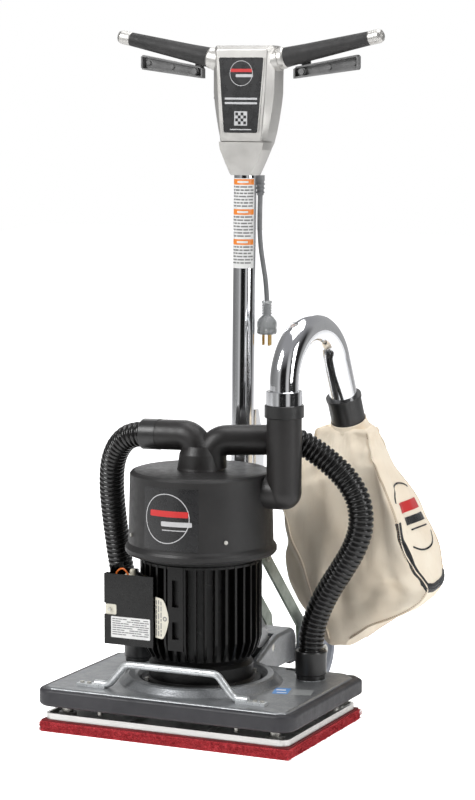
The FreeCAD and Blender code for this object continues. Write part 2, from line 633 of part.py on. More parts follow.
def make_stack():
    x, y = size("stack_x"), size("stack_y")
    heading = FreeCAD.Vector(x, y, 0).normalize()
    elbow = size("stack_elbow")

    def shape(wall, reach):
        radius = size("stack_radius") - wall
        duct = size("duct_radius") - wall
        low = FreeCAD.Vector(x, y, elbow)
        pipe = Part.makeCylinder(radius, size("stack_top") - elbow + reach, low)
        ball = Part.makeSphere(radius, low)
        arm = Part.makeCylinder(duct, 44 + reach, FreeCAD.Vector(x, y, elbow - 2) - heading * (44 + reach), heading)
        return pipe.fuse([ball, arm])

    keep("exhaust_stack", computed("stack_shape", shape(0, 0).cut(shape(3, 5))))
    centre = ("stack_x", "stack_y", 0)
    keep("stack_clamp", turned("clamp_ring", [
        ("u_radius + 0.4", "stack_top"), ("clamp_radius - 1", "stack_top"), ("clamp_radius", "stack_top + 1"),
        ("clamp_radius", "clamp_top - 1"), ("clamp_radius - 1", "clamp_top"), ("u_radius + 0.4", "clamp_top"),
    ], centre))
    keep("u_tube_collar", turned("collar_ring", [
        ("u_radius", "clamp_top + 0.3"), ("collar_radius", "clamp_top + 0.3"), ("collar_radius", "collar_top - 1"),
        ("collar_radius - 1", "collar_top"), ("u_radius", "collar_top"),
    ], centre))


def u_tube_path():
    """Points of the U-tube's centre line: up from the stack, over, and down the leaning outlet leg."""
    heading = math.radians(size("u_heading"))
    turn = math.radians(size("u_turn"))
    bend = size("u_bend")

    def spot(reach, height):
        return FreeCAD.Vector(size("stack_x") + reach * math.sin(heading),
                              size("stack_y") + reach * math.cos(heading), height)

    start = size("u_start")
    end_reach = bend - bend * math.cos(turn)
    end_height = start + bend * math.sin(turn)
    leg = size("u_leg")
    return [
        spot(0, size("stack_top") - 20), spot(0, start), spot(bend - bend * math.cos(turn / 2),
                                                             start + bend * math.sin(turn / 2)),
        spot(end_reach, end_height), spot(end_reach + leg * math.sin(turn), end_height + leg * math.cos(turn)),
    ]


def make_u_tube():
    foot, start, crown, end, tip = u_tube_path()
    wire = Part.Wire([
        Part.LineSegment(foot, start).toShape(), Part.Arc(start, crown, end).toShape(),
        Part.LineSegment(end, tip).toShape()])
    radius = size("u_radius")
    keep("u_tube", hollow_sweep("u_tube_pipe", wire, radius, radius - size("u_wall")))
    heading = (tip - end).normalize()
    top = tip - heading * 32
    outside = Part.makeCylinder(size("cuff_radius"), size("cuff_length"), top, heading)
    lip = Part.makeCylinder(size("cuff_radius") + 1.5, 5, top, heading)
    room = Part.makeCylinder(radius, 32.2, top - heading * 0.1, heading)
    passage = Part.makeCylinder(radius - 2, 100, top, heading)
    keep("bag_cuff", computed("bag_cuff_body", outside.fuse([lip]).cut([room, passage])))


BAG_SECTIONS = [
    # height, then the front left seam, front right seam, rear right, rear left and left corners of the hanging bag
    (116, (150, 214), (176, 216), (178, 234), (154, 238), (144, 226)),
    (134, (150, 203), (194, 205), (204, 252), (128, 256), (114, 238)),
    (162, (143, 188), (238, 192), (252, 272), (100, 280), (86, 248)),
    (196, (134, 176), (313, 188), (306, 290), (78, 296), (76, 224)),
    (226, (120, 172), (337, 204), (331, 292), (68, 304), (62, 218)),
    (262, (102, 170), (322, 184), (326, 306), (60, 310), (56, 210)),
    (300, (80, 172), (306, 172), (315, 312), (60, 314), (56, 204)),
    (350, (60, 178), (298, 170), (291, 313), (58, 316), (54, 206)),
    (390, (58, 180), (280, 172), (266, 311), (60, 312), (54, 212)),
    (425, (67, 184), (264, 176), (244, 304), (70, 300), (58, 232)),
    (455, (84, 190), (245, 183), (230, 288), (90, 284), (76, 236)),
    (478, (108, 198), (229, 191), (218, 268), (118, 268), (102, 236)),
    (492, (138, 208), (212, 199), (208, 250), (144, 250), (134, 230)),
]
BAG_BULGE = 0.07


def bag_ring(height, corners):
    """One closed level outline of the bag: its corners, and a point between each two that bulges outward."""
    spots = []
    for here, there in zip(corners, corners[1:] + corners[:1]):
        across, along = there[0] - here[0], there[1] - here[1]
        spots.append(FreeCAD.Vector(*here, height))
        spots.append(FreeCAD.Vector((here[0] + there[0]) / 2 + along * BAG_BULGE,
                                    (here[1] + there[1]) / 2 - across * BAG_BULGE, height))
    curve = Part.BSplineCurve()
    curve.interpolate(spots, PeriodicFlag=True)
    return Part.Wire([curve.toShape()])


def make_bag():
    bag = Part.makeLoft([bag_ring(height, list(corners)) for height, *corners in BAG_SECTIONS], True, False)
    tip = u_tube_path()[-1]
    heading = (tip - u_tube_path()[-2]).normalize()
    room = Part.makeCylinder(size("cuff_radius") + 0.3, 80, tip - heading * 40, heading)
    keep("dust_bag", computed("bag_shape", bag.cut(room)))


# ---- wheels, pivot and struts ----

def make_wheels():
    def wheel(side, sign):
        inner, outer = "wheel_inner", "wheel_outer"
        disc = turned(f"wheel_{side}_disc", [
            ("axle_radius + 0.05", -1), (15, -1), (15, 5), (20, 7), ("wheel_radius - 16", 7),
            ("wheel_radius - 13", 1), ("wheel_radius - 3", 0), ("wheel_radius", 3),
            ("wheel_radius", f"{outer} - {inner} - 3"), ("wheel_radius - 3", f"{outer} - {inner}"),
            ("wheel_radius - 13", f"{outer} - {inner} - 1"), ("wheel_radius - 16", f"{outer} - {inner} - 7"),
            (20, f"{outer} - {inner} - 7"), (15, f"{outer} - {inner} - 5"), (15, f"{outer} - {inner}"),
            ("axle_radius + 0.05", f"{outer} - {inner}"),
        ])
        turn = FreeCAD.Rotation(FreeCAD.Vector(0, 1, 0), 90 * sign)
        disc.Placement = FreeCAD.Placement(FreeCAD.Vector(), turn)
        place(disc, (f"({sign}) * wheel_inner", "axle_y", "axle_z"), turn)
        keep(f"wheel_{side}", disc)

    mirrored_pair(wheel)
    keep("axle", cylinder("axle_rod", "axle_radius", 164, (-82, "axle_y", "axle_z"), "x"))
    keep("pivot_pin", cylinder("pivot_rod", "pivot_radius", 99, (-49.5, "pivot_y", "pivot_z"), "x"))


def bolt_path():
    """Where the slide bolt is in the upright handle's frame as the handle tilts, as (y, z) in the rest pose."""
    pivot_y, pivot_z = size("pivot_y"), size("pivot_z")
    axle_y, axle_z = size("axle_y"), size("axle_z")
    arm_y, arm_z = size("bolt_y") - axle_y, size("bolt_z") - axle_z
    spots = []
    for step in range(9):
        tilt = math.radians(size("handle_range")) * step / 8
        swing = tilt * size("strut_ratio")
        y = axle_y + arm_y * math.cos(swing) + arm_z * math.sin(swing) - pivot_y
        z = axle_z - arm_y * math.sin(swing) + arm_z * math.cos(swing) - pivot_z
        spots.append((pivot_y + y * math.cos(tilt) - z * math.sin(tilt),
                      pivot_z + y * math.sin(tilt) + z * math.cos(tilt)))
    return spots


def make_struts():
    bolt_y, bolt_z = size("bolt_y"), size("bolt_z")
    axle_y, axle_z = size("axle_y"), size("axle_z")
    middle = size("strut_inner") + size("strut_thick") / 2
    radius = size("bolt_radius")

    bars = []
    for n, x in enumerate((-middle, middle)):
        bar = flat_bar(f"strut_bar{n}", [(168, 280), (axle_y - 4, 114), (axle_y, axle_z)],
                       size("strut_width"), size("strut_thick"), x)
        axle_hole = cylinder(f"strut_axle_hole{n}", "axle_radius + 0.05", 20, (x - 10, axle_y, axle_z), "x")
        bolt_hole = cylinder(f"strut_bolt_hole{n}", "bolt_radius", 20, (x - 10, bolt_y, bolt_z), "x")
        bars.append(cut(f"strut_drilled{n}", bar, axle_hole, bolt_hole))
    keep("struts", group("strut_pair", *bars))
    outer = size("strut_inner") + size("strut_thick")
    rod = cylinder("slide_rod", "bolt_radius", 2 * outer + 24, (-outer - 16, "bolt_y", "bolt_z"), "x")
    head = cylinder("slide_head", 7.5, 5, (outer, "bolt_y", "bolt_z"), "x")
    keep("slide_bolt", fuse("slide_bolt_body", rod, head))
    hub = Part.makeCylinder(9, 11, FreeCAD.Vector(-outer - 11.5, bolt_y, bolt_z), FreeCAD.Vector(1, 0, 0))
    wire, _ = bent_wire([(-outer - 7, bolt_y, bolt_z), (-outer - 9, bolt_y + 20, bolt_z - 14),
                         (-outer - 18, bolt_y + 46, bolt_z - 34)])
    arm = swept(wire, 5)
    end = arm.fuse([hub, Part.makeSphere(8, FreeCAD.Vector(-outer - 18, bolt_y + 46, bolt_z - 34))])
    bore = Part.makeCylinder(radius + 0.05, 60, FreeCAD.Vector(-outer - 40, bolt_y, bolt_z),
                             FreeCAD.Vector(1, 0, 0))
    keep("lock_lever", computed("lock_lever_body", end.cut(bore)))


# ---- handle ----

def handle_frame():
    """The leaning frame of the handle tube: its z runs up the tube's axis from floor level."""
    lean = math.degrees(math.atan(size("tube_lean")))
    return FreeCAD.Placement(FreeCAD.Vector(0, size("tube_foot_y"), 0),
                             FreeCAD.Rotation(FreeCAD.Vector(1, 0, 0), -lean))


def make_handle_tube(frame):
    pipe = cut("tube_pipe", cylinder("tube_outer", "tube_radius", "tube_top - tube_bottom", (0, 0, "tube_bottom")),
               cylinder("tube_inner", "tube_radius - tube_wall", 2000, (0, 0, 0)))
    keep("handle_tube", group("tube_placed", pipe, frame=frame))
    pivot = frame.inverse().multVec(FreeCAD.Vector(0, size("pivot_y"), size("pivot_z")))
    wing = prism("yoke_wing", "XZ_Plane", [
        (-38, 108), (38, 108), (38, 138), (27, 160), (25, 204), (-25, 204), (-27, 160), (-38, 138)], 48)
    boss = cylinder("yoke_boss", 19, 76, (-38, pivot.y, pivot.z), "x")
    cheek = box("yoke_cheek", 76, 40, 26, (0, 12, 106))
    solid = fuse("yoke_solid", wing, boss, cheek)
    socket = cylinder("yoke_socket", "tube_radius", 200, (0, 0, "tube_bottom"))
    pin_hole = cylinder("yoke_pin_hole", "pivot_radius + 0.05", 120, (-60, pivot.y, pivot.z), "x")
    keep("handle_yoke", group("yoke_placed", cut("yoke_bored", solid, socket, pin_hole), frame=frame))
    web = box("guide_web", 34, 3, 300, (0, "tube_radius + 1.7", 216))
    cheeks = [box(f"guide_cheek{n}", 3, 34, 300, (x, "tube_radius + 17.2", 216)) for n, x in enumerate((-15.5, 15.5))]
    rough = fuse("guide_channel", web, *cheeks)
    taper = prism("guide_taper", "YZ_Plane", [
        ("tube_radius + 8", 520), ("tube_radius + 60", 520), ("tube_radius + 60", 440),
        ("tube_radius + 34.3", 452)], 60)
    path = [frame.inverse().multVec(FreeCAD.Vector(0, y, z)) for y, z in bolt_path()]
    print("slide bolt path in the handle frame:", [(round(p.y, 1), round(p.z, 1)) for p in path])
    slot = flat_bar("guide_slot", [(p.y, p.z) for p in path], 2 * size("bolt_radius") + 0.9, 60, 0)
    keep("slotted_guide", group("guide_placed", cut("guide_cut", rough, taper, slot), frame=frame))


HEAD_SIDE = [(51, 1138), (55, 1134), (56.8, 1100), (56.4, 1058), (54, 1037), (50.3, 1014), (46, 992), (40.5, 971)]
HEAD_PANEL = [(45, 1131), (48, 1128), (46.4, 1100), (44, 1058), (42.6, 1037), (41, 1014), (39.6, 992), (38.2, 977)]


def head_outline(side, inset=0):
    """A closed outline of the head from its right side, as (x, z), drawn in by an inset."""
    right = [(x - inset, z - inset) for x, z in side]
    return right + [(-x, z) for x, z in reversed(right)]


def make_head(frame):
    split, front, back = "head_split", "head_front", "head_back"
    bevel = 11
    block = prism("head_block", "XZ_Plane", head_outline(HEAD_SIDE), f"{split} - ({front}) - {bevel}",
                  (0, f"({split} + {front} + {bevel}) / 2", 0))
    rims = []
    for side, depth in ((HEAD_SIDE, size(front) + bevel), (HEAD_PANEL, size(front))):
        corners = [FreeCAD.Vector(x, depth, z) for x, z in head_outline(side)]
        rims.append(Part.makePolygon(corners + corners[:1]))
    panel = computed("head_panel", Part.makeLoft(rims, True, True))
    doc.recompute()
    front_y = size(front)
    panel = rounded("head_round", panel, 2.5, lambda edge: edge.BoundBox.YMax < front_y + 0.1)
    cone = turned("head_neck_cone", [
        (0, "head_bottom"), (25, "head_bottom"), (26.5, "head_bottom + 2"), (34.5, 939), (44, 962),
        (46, "head_ledge + 4"), (0, "head_ledge + 4")])
    neck_rear = box("head_neck_rear", 120, 60, 80, (0, f"{split} + 30", 910))
    neck_front = box("head_neck_front", 120, 60, 80, (0, f"{front} - 30 + 1.5", 910))
    neck = cut("head_neck", cone, neck_rear, neck_front)
    bosses = []
    for n, sign in enumerate((-1, 1)):
        root, heading = bar_axis(sign)
        boss = Part.makeCylinder(20, 20, root - heading * 20, heading).transformed(frame.inverse().toMatrix())
        front_room = Part.makeBox(200, 100, 200, FreeCAD.Vector(-100, size(split) - 100, 1000))
        bosses.append(computed(f"head_boss{n}", boss.common(front_room)))
    solid = fuse("head_solid", block, panel, neck, *bosses)
    cavity = prism("head_cavity", "XZ_Plane", [
        (-45, "head_top - 8"), (45, "head_top - 8"), (43, 1101), (34, 991), (32, "head_ledge + 5"),
        (-32, "head_ledge + 5"), (-34, 991), (-43, 1101)], 60, (0, f"{front} + 5 + 30", 0))
    socket = cylinder("head_tube_hole", "tube_radius", "tube_top - head_bottom + 10", (0, 0, "head_bottom - 10"))
    button_hole = cylinder("head_button_hole", 4.1, 40, (-70, 4, 1050), "x")
    keep("head_housing", group("head_placed", cut("head_hollow", solid, cavity, socket, button_hole), frame=frame))
    side = [(x, z) for x, z in head_outline(HEAD_SIDE[:-1], 1) if x > 0] + [
        (39.5, "head_ledge"), (30, 940), (25, "head_bottom + 2")]
    mirrored = [(f"-({x})", z) for x, z in reversed(side)]
    lid = prism("lid_block", "XZ_Plane", side + mirrored, f"{back} - {split} - 0.2",
                (0, f"({back} + {split}) / 2 + 0.1", 0))
    doc.recompute()
    lid = rounded("lid_round", lid, 4, lambda edge: edge.BoundBox.YMin > size("head_back") - 0.1)
    neck_room = turned("lid_neck_room", [
        (26.5, "head_bottom - 4"), (26.5, "head_bottom + 2"), (34.5, 939), (44, 962), (52, 976), (90, 976),
        (90, "head_bottom - 4")])
    keep("head_rear_cover", group("lid_placed", cut("lid_trimmed", lid, neck_room), frame=frame))
    screws = [cylinder(f"handle_screw{n}", radius, 2.5, (x, y, z), "y") for n, (radius, x, y, z) in enumerate((
        (3.5, -44, back, 1120), (3.5, 44, back, 1120), (3.5, -30, back, 985), (3.5, 30, back, 985),
        (5, 0, -26.5, 150), (5, 0, -26.5, 186)))]
    keep("handle_screws", group("handle_screws_placed", *screws, frame=frame))
    switch = fuse("switch_solid", box("switch_case", 34, 22, 40, (0, 4, 1046)),
                  box("switch_rocker", 20, 8, 12, (0, 4, 1084)))
    keep("power_switch", group("switch_placed", switch, frame=frame))
    stem = fuse("button_solid", cylinder("button_stem", 4, 14, (-58.4, 4, 1050), "x"),
                cylinder("button_cap", 3.9, 3.2, (-60.8, 4, 1050), "x"))
    keep("safety_button", group("button_placed", stem, frame=frame))


GRIP_ROOT = (60.8, 184.5, 1115.4)
GRIP_TIP = (236, 187, 1152)


def bar_axis(sign):
    """The root of a handlebar and its direction, on the side that the sign gives."""
    root = FreeCAD.Vector(sign * GRIP_ROOT[0], *GRIP_ROOT[1:])
    tip = FreeCAD.Vector(sign * GRIP_TIP[0], *GRIP_TIP[1:])
    return root, (tip - root).normalize()


def make_bars():
    length = (FreeCAD.Vector(*GRIP_TIP) - FreeCAD.Vector(*GRIP_ROOT)).Length
    bars = []
    sleeves = []
    for n, sign in enumerate((-1, 1)):
        root, heading = bar_axis(sign)
        frame = FreeCAD.Placement(root, FreeCAD.Rotation(FreeCAD.Vector(0, 0, 1), heading))
        core = turned(f"bar_core{n}", [
            (0, 0), (18.5, 0), (18.5, 8), (17, 11), (11, 11), (7.5, length - 14), (11.5, length - 14), (12, length - 12),
            (11.9, length + 4), (9.5, length + 9), (5, length + 11.5), (0, length + 12)])
        rubber = turned(f"grip_sleeve{n}", [
            (11, 11), (16.8, 11), (17, 13), (15.2, 50), (11.8, length - 15), (11.5, length - 14), (7.5, length - 14)])
        bars.append(group(f"bar_placed{n}", core, frame=frame))
        sleeves.append(group(f"grip_placed{n}", rubber, frame=frame))
    keep("handlebars", group("bar_pair", *bars))
    keep("grips", group("grip_pair", *sleeves))


LEVER_PIN = (100, 190, 1094)


def make_levers():
    def lever(side, sign):
        y = LEVER_PIN[1]
        face = [(sign * x, z) for x, z in ((85, 1082), (201, 1097), (203, 1100), (203, 1119), (200, 1122), (89, 1102),
                                           (85, 1098))]
        web = prism(f"lever_{side}_web", "XZ_Plane", face, 3, (0, y + 4.5, 0))
        rims = []
        for n, ends in enumerate((((85, 1082), (201, 1097), (201, 1100), (85, 1085)),
                                  ((89, 1099), (200, 1119), (200, 1122), (89, 1102)),
                                  ((200, 1098), (203, 1100), (203, 1119), (200, 1121)),
                                  ((85, 1083), (88, 1083), (88, 1100), (85, 1098)))):
            rims.append(prism(f"lever_{side}_rim{n}", "XZ_Plane", [(sign * x, z) for x, z in ends], 12, (0, y, 0)))
        boss = cylinder(f"lever_{side}_boss", 6.5, 9, (sign * LEVER_PIN[0], y - 3, LEVER_PIN[2]), "y")
        rivets = [cylinder(f"lever_{side}_rivet{n}", 4.2, 2.2, (sign * x, y + 1, z), "y")
                  for n, (x, z) in enumerate(((147, 1101.5), (192, 1108.5)))]
        hole = cylinder(f"lever_{side}_hole", 3.05, 60, (sign * LEVER_PIN[0], y - 30, LEVER_PIN[2]), "y")
        body = fuse(f"lever_{side}_body", web, *rims, boss, *rivets)
        keep(f"lever_{side}", cut(f"lever_{side}_bored", body, hole))

    mirrored_pair(lever)
    brackets = []
    for n, sign in enumerate((-1, 1)):
        y = LEVER_PIN[1]
        plate = prism(f"bracket_plate{n}", "XZ_Plane", [
            (sign * 56.2, 1106), (sign * 92, 1106), (sign * 92, 1087), (sign * 108, 1087), (sign * 108, 1112),
            (sign * 104, 1120), (sign * 56.2, 1120)], 3, (0, y + 15.2, 0))
        spacer = cylinder(f"lever_spacer{n}", 6, 7.6, (sign * LEVER_PIN[0], y + 6.4, LEVER_PIN[2]), "y")
        pin = cylinder(f"lever_pin{n}", 3, 24, (sign * LEVER_PIN[0], y - 8, LEVER_PIN[2]), "y")
        head = cylinder(f"lever_pin_head{n}", 5, 2, (sign * LEVER_PIN[0], y - 8, LEVER_PIN[2]), "y")
        brackets.append(fuse(f"bracket{n}", plate, spacer, pin, head))
    keep("lever_brackets", group("bracket_pair", *brackets))


CORD_ROUTE = [
    (19.5, 194.6, 884), (18.6, 194.8, 857), (18, 195, 827), (20, 195.2, 795), (25, 195.3, 764), (30.5, 195, 734),
    (32, 195, 704),
]


def make_cord():
    x, y, z = CORD_ROUTE[0]
    keep("cord_gland", turned("gland_body", [
        ("cord_radius + 0.3", 0), (5.6, 0), (5.6, 3), (7.2, 4), (7.2, 6), (5.9, 7), (5.9, 10), (7.4, 11), (7.4, 13),
        (6.2, 14), (6.2, 17), (7.8, 18), (7.8, 20), (6.6, 21), (6.6, 24), (7.6, 25), (7.6, 34), (0, 34), (0, 30),
        ("cord_radius + 0.3", 30)], (x, y, z)))
    wire, radii = bent_wire([(x, y, z + 30)] + CORD_ROUTE)
    print(f"power cord: length {wire.Length:.0f}, bend radii {radii}")
    keep("power_cord", computed("cord_tube", swept(wire, size("cord_radius"))))
    x, y, z = CORD_ROUTE[-1]
    keep("plug_body", turned("plug_shape", [
        (0, 0), (7, 0), (8.5, -2), (8.5, -26), (13, -30), (16.5, -34), (17.5, -38), (17.5, -56), (16, -58), (0, -58)],
        (x, y, z)))
    blades = [box(f"plug_blade{n}", 2, 7, 19, (x + shift, y, z - 77)) for n, shift in enumerate((-6.5, 6.5))]
    ground = cylinder("plug_ground", 2.4, 21, (x, y + 9, z - 79))
    keep("plug_blades", group("blade_group", *blades, ground))


def make_fasteners():
    """Screws, bolts and nuts of the base: lift handle, motor foot, fan shroud, box cover and axle ends."""
    heads = []
    for n, x in enumerate((-165, -152, 152, 165)):
        heads.append(cylinder(f"lift_screw{n}", 3.6, 2.4, (x, "lift_y", "deck_top + 5")))
    for n, (x, y) in enumerate(corner_places(67.8, 67.8)):
        heads.append(cylinder(f"motor_bolt{n}", 3.8, 5, (x, y, "deck_top + 8")))
    for n, (x, y) in enumerate(corner_places(1, 1)):
        heading = FreeCAD.Vector(x, y, 0).normalize()
        screw = Part.makeCylinder(3.2, 2.5, heading * size("shroud_foot") + FreeCAD.Vector(0, 0, 333), heading)
        heads.append(computed(f"shroud_screw{n}", screw))
    heads.append(cylinder("tab_screw", 3, 2, (-119, -104.6, 208), "y"))
    for n, x in enumerate(("-(wheel_outer + 7.5)", "wheel_outer + 0.5")):
        nut = cylinder(f"axle_nut{n}", 10, 7, (x, "axle_y", "axle_z"), "x")
        bore = cylinder(f"nut_bore{n}", "axle_radius", 30, (f"{x} - 10", "axle_y", "axle_z"), "x")
        heads.append(cut(f"axle_nut_bored{n}", nut, bore))
    keep("fasteners", group("fastener_group", *heads))


make_pad_group()
make_isolators()
make_housing()
make_bumper()
make_lift_handle()
make_motor()
make_dust_fan()
make_junction_box()
make_manifold()
make_hoses()
make_stack()
make_u_tube()
make_bag()
make_wheels()
make_struts()
make_fasteners()
HANDLE = handle_frame()
make_handle_tube(HANDLE)
make_head(HANDLE)
make_bars()
make_levers()
make_cord()
doc.recompute()

for thing in doc.Objects:
    if {"Invalid", "Error"} & set(thing.State):
        raise ValueError(f"{thing.Name} failed: {thing.State}")
os.makedirs("parts", exist_ok=True)
for thing in nodes:
    if thing.Shape.isNull() or not thing.Shape.isValid():
        raise ValueError(f"{thing.Label} has no valid shape")
    thing.Shape.exportStep(f"parts/{thing.Label}.step")
print(len(nodes), "sub-parts")
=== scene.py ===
"""Looks of the orbital floor sander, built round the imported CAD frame."""
import bisect
import math
import random

import bmesh
import bpy
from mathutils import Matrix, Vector, noise
from mathutils.bvhtree import BVHTree


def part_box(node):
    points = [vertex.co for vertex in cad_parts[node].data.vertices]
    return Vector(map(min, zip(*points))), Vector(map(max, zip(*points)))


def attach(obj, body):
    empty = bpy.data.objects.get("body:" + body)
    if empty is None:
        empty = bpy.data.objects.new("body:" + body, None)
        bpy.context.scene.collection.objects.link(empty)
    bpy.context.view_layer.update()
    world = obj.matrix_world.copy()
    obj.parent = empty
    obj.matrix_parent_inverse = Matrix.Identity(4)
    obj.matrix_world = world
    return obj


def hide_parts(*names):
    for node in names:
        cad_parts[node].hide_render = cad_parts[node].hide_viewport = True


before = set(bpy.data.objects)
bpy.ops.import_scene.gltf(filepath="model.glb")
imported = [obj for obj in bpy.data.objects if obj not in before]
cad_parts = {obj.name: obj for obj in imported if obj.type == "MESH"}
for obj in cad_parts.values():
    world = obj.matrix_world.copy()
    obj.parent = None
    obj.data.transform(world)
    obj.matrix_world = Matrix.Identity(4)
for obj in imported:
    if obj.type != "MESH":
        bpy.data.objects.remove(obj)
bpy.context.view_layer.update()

scene = bpy.context.scene
# ---- camera and light ----

CAMERA_PLACE = (1.88836, -3.91429, 1.11051)
CAMERA_AZIMUTH = math.radians(25.06)
CAMERA_PITCH = math.radians(7.07)
CAMERA_LENS = 118.68
CAMERA_SHIFT = (0.0062, -0.0141)


def add_object(name, data):
    """A new object for a mesh, curve, lamp or camera, linked to the scene."""
    made = bpy.data.objects.new(name, data)
    scene.collection.objects.link(made)
    return made


def make_camera():
    """The camera, at the photograph's viewing angle."""
    data = bpy.data.cameras.new("camera")
    data.lens = CAMERA_LENS
    data.sensor_width = 36
    data.shift_x, data.shift_y = CAMERA_SHIFT
    data.clip_end = 300
    camera = add_object("camera", data)
    camera.location = CAMERA_PLACE
    camera.rotation_euler = (math.pi / 2 - CAMERA_PITCH, 0, CAMERA_AZIMUTH)
    scene.camera = camera


def light(name, place, target, size, power):
    """A soft rectangular light aimed at a point."""
    data = bpy.data.lights.new(name, "AREA")
    data.shape = "RECTANGLE"
    data.size, data.size_y = size
    data.energy = power
    lamp = add_object(name, data)
    lamp.location = place
    lamp.rotation_euler = (Vector(target) - Vector(place)).to_track_quat("-Z", "Y").to_euler()


make_camera()
light("key", (-1.5, -2.3, 2.5), (0, 0, 0.5), (1.3, 1.6), 82)
light("side", (2.7, -0.3, 1.4), (0, 0.1, 0.5), (0.8, 2.0), 30)
light("top", (0.2, 0.5, 3.0), (0, 0.1, 0), (2.2, 1.6), 42)
light("back", (-1.2, 2.6, 1.8), (0, 0.1, 0.6), (1.6, 1.6), 12)


# ---- materials ----

class Nodes:
    """A node tree, with short ways to add shader nodes to it."""

    def __init__(self, tree):
        self.tree = tree

    def node(self, kind, inputs=None, **settings):
        made = self.tree.nodes.new(kind)
        for setting, value in settings.items():
            setattr(made, setting, value)
        for socket, value in (inputs or {}).items():
            self.put(made.inputs[socket], value)
        return made

    def put(self, socket, value):
        if isinstance(value, bpy.types.NodeSocket):
            self.tree.links.new(value, socket)
        else:
            socket.default_value = value

    def span(self, value, low, high, to_low=0.0, to_high=1.0):
        made = self.node("ShaderNodeMapRange", {
            "Value": value, "From Min": low, "From Max": high, "To Min": to_low, "To Max": to_high})
        return made.outputs["Result"]

    def math(self, operation, *values):
        made = self.node("ShaderNodeMath", operation=operation)
        for socket, value in zip(made.inputs, values):
            self.put(socket, value)
        return made.outputs[0]

    def blend(self, amount, first, second):
        made = self.node("ShaderNodeMix", {0: amount}, data_type="RGBA")
        for index, value in ((6, first), (7, second)):
            self.put(made.inputs[index], (*value, 1) if isinstance(value, tuple) else value)
        return made.outputs[2]


class Finish(Nodes):
    """A node material: a Principled shader and the nodes that feed it."""

    def __init__(self, name, color, **sockets):
        self.material = bpy.data.materials.new(name)
        self.material.use_nodes = True
        super().__init__(self.material.node_tree)
        self.shader = self.tree.nodes["Principled BSDF"]
        self.feed(Base_Color=(*color, 1), **sockets)
        self.spot = self.node("ShaderNodeTexCoord").outputs["Object"]

    def feed(self, **sockets):
        for socket, value in sockets.items():
            self.put(self.shader.inputs[socket.replace("_", " ")], value)
        return self

    def on(self, *nodes):
        """Dress CAD nodes, by name, or new pieces in this finish."""
        for item in nodes:
            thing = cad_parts[item] if isinstance(item, str) else item
            if thing.material_slots:
                for slot in thing.material_slots:
                    slot.link = "OBJECT"
                    slot.material = self.material
            else:
                thing.data.materials.append(self.material)
        return self

    def stretched(self, factors):
        return self.node("ShaderNodeMapping", {"Vector": self.spot, "Scale": factors}).outputs["Vector"]

    def noise(self, scale, detail=4, rough=0.55, at=None, warp=0.0):
        inputs = {"Vector": at or self.spot, "Scale": scale, "Detail": detail, "Roughness": rough,
                  "Distortion": warp}
        return self.node("ShaderNodeTexNoise", inputs).outputs["Fac"]

    def cells(self, scale, feature, **inputs):
        inputs = {"Vector": self.spot, "Scale": scale, **inputs}
        return self.node("ShaderNodeTexVoronoi", inputs, feature=feature).outputs["Distance"]

    def bumped(self, *layers):
        """Bump layers of (height, depth in metres, strength), one on the other."""
        normal = None
        for height, depth, strength in layers:
            inputs = {"Height": height, "Distance": depth, "Strength": strength}
            if normal:
                inputs["Normal"] = normal
            normal = self.node("ShaderNodeBump", inputs).outputs["Normal"]
        return self.feed(Normal=normal)


def surface(name, dark, light_color, rough, grain, depth, metal=0.0, patch=9.0, strength=0.6, **sockets):
    """A cast, moulded or painted surface: slow colour patches, uneven gloss and a fine grain."""
    made = Finish(name, light_color, Metallic=metal, **sockets)
    patches = made.noise(patch, 5, 0.6)
    specks = made.noise(grain, 3, 0.6)
    color = made.blend(made.span(patches, 0.35, 0.65), dark, light_color)
    gloss = made.span(made.noise(patch * 6, 4, 0.65), 0.3, 0.7, *rough)
    made.feed(Base_Color=color, Roughness=gloss)
    return made.bumped((specks, depth, strength))


def brushed(name, dark, light_color, rough, along):
    """Drawn or machined metal, with fine streaks along one axis."""
    made = Finish(name, light_color, Metallic=1.0)
    factors = [1.0 if axis == along else 60.0 for axis in "xyz"]
    streaks = made.noise(22, 3, 0.6, made.stretched(factors))
    blotches = made.noise(14, 4, 0.6)
    color = made.blend(made.span(streaks, 0.3, 0.7), dark, light_color)
    gloss = made.math("ADD", made.span(streaks, 0.3, 0.7, *rough), made.span(blotches, 0.4, 0.7, 0, 0.08))
    made.feed(Base_Color=color, Roughness=gloss)
    return made.bumped((streaks, 0.00004, 0.2))


def hammered(name, dark, light_color):
    """Hammered grey paint, bright in a broken line on the casting's sharp edges: a painted highlight, and
    worn paint.
    """
    made = Finish(name, light_color, Metallic=0.55, Coat_Weight=0.35, Coat_Roughness=0.18)
    dimples = made.cells(330, "SMOOTH_F1", Smoothness=0.7)
    fine = made.noise(900, 3, 0.6)
    patches = made.noise(13, 5, 0.6)
    color = made.blend(made.span(patches, 0.3, 0.7), dark, light_color)
    color = made.blend(made.span(dimples, 0.15, 0.6, 0, 0.35), color, tuple(0.45 * c for c in light_color))
    made.feed(Roughness=made.span(made.noise(60, 4, 0.6), 0.3, 0.7, 0.28, 0.46))
    soft = made.node("ShaderNodeBevel", {"Radius": 0.0022}, samples=6).outputs["Normal"]
    plain = made.node("ShaderNodeNewGeometry").outputs["Normal"]
    lean = made.node("ShaderNodeVectorMath", {0: soft, 1: plain}, operation="DOT_PRODUCT").outputs["Value"]
    sharp = made.span(lean, 0.985, 0.90)
    broken = made.span(made.noise(160, 4, 0.7), 0.42, 0.56)
    # Painted highlight and worn paint: a pale grey on sharp edges, broken up by noise.
    made.feed(Base_Color=made.blend(made.math("MULTIPLY", sharp, broken), color, (0.72, 0.73, 0.74)))
    return made.bumped((dimples, 0.0006, 0.5), (fine, 0.0001, 0.35))


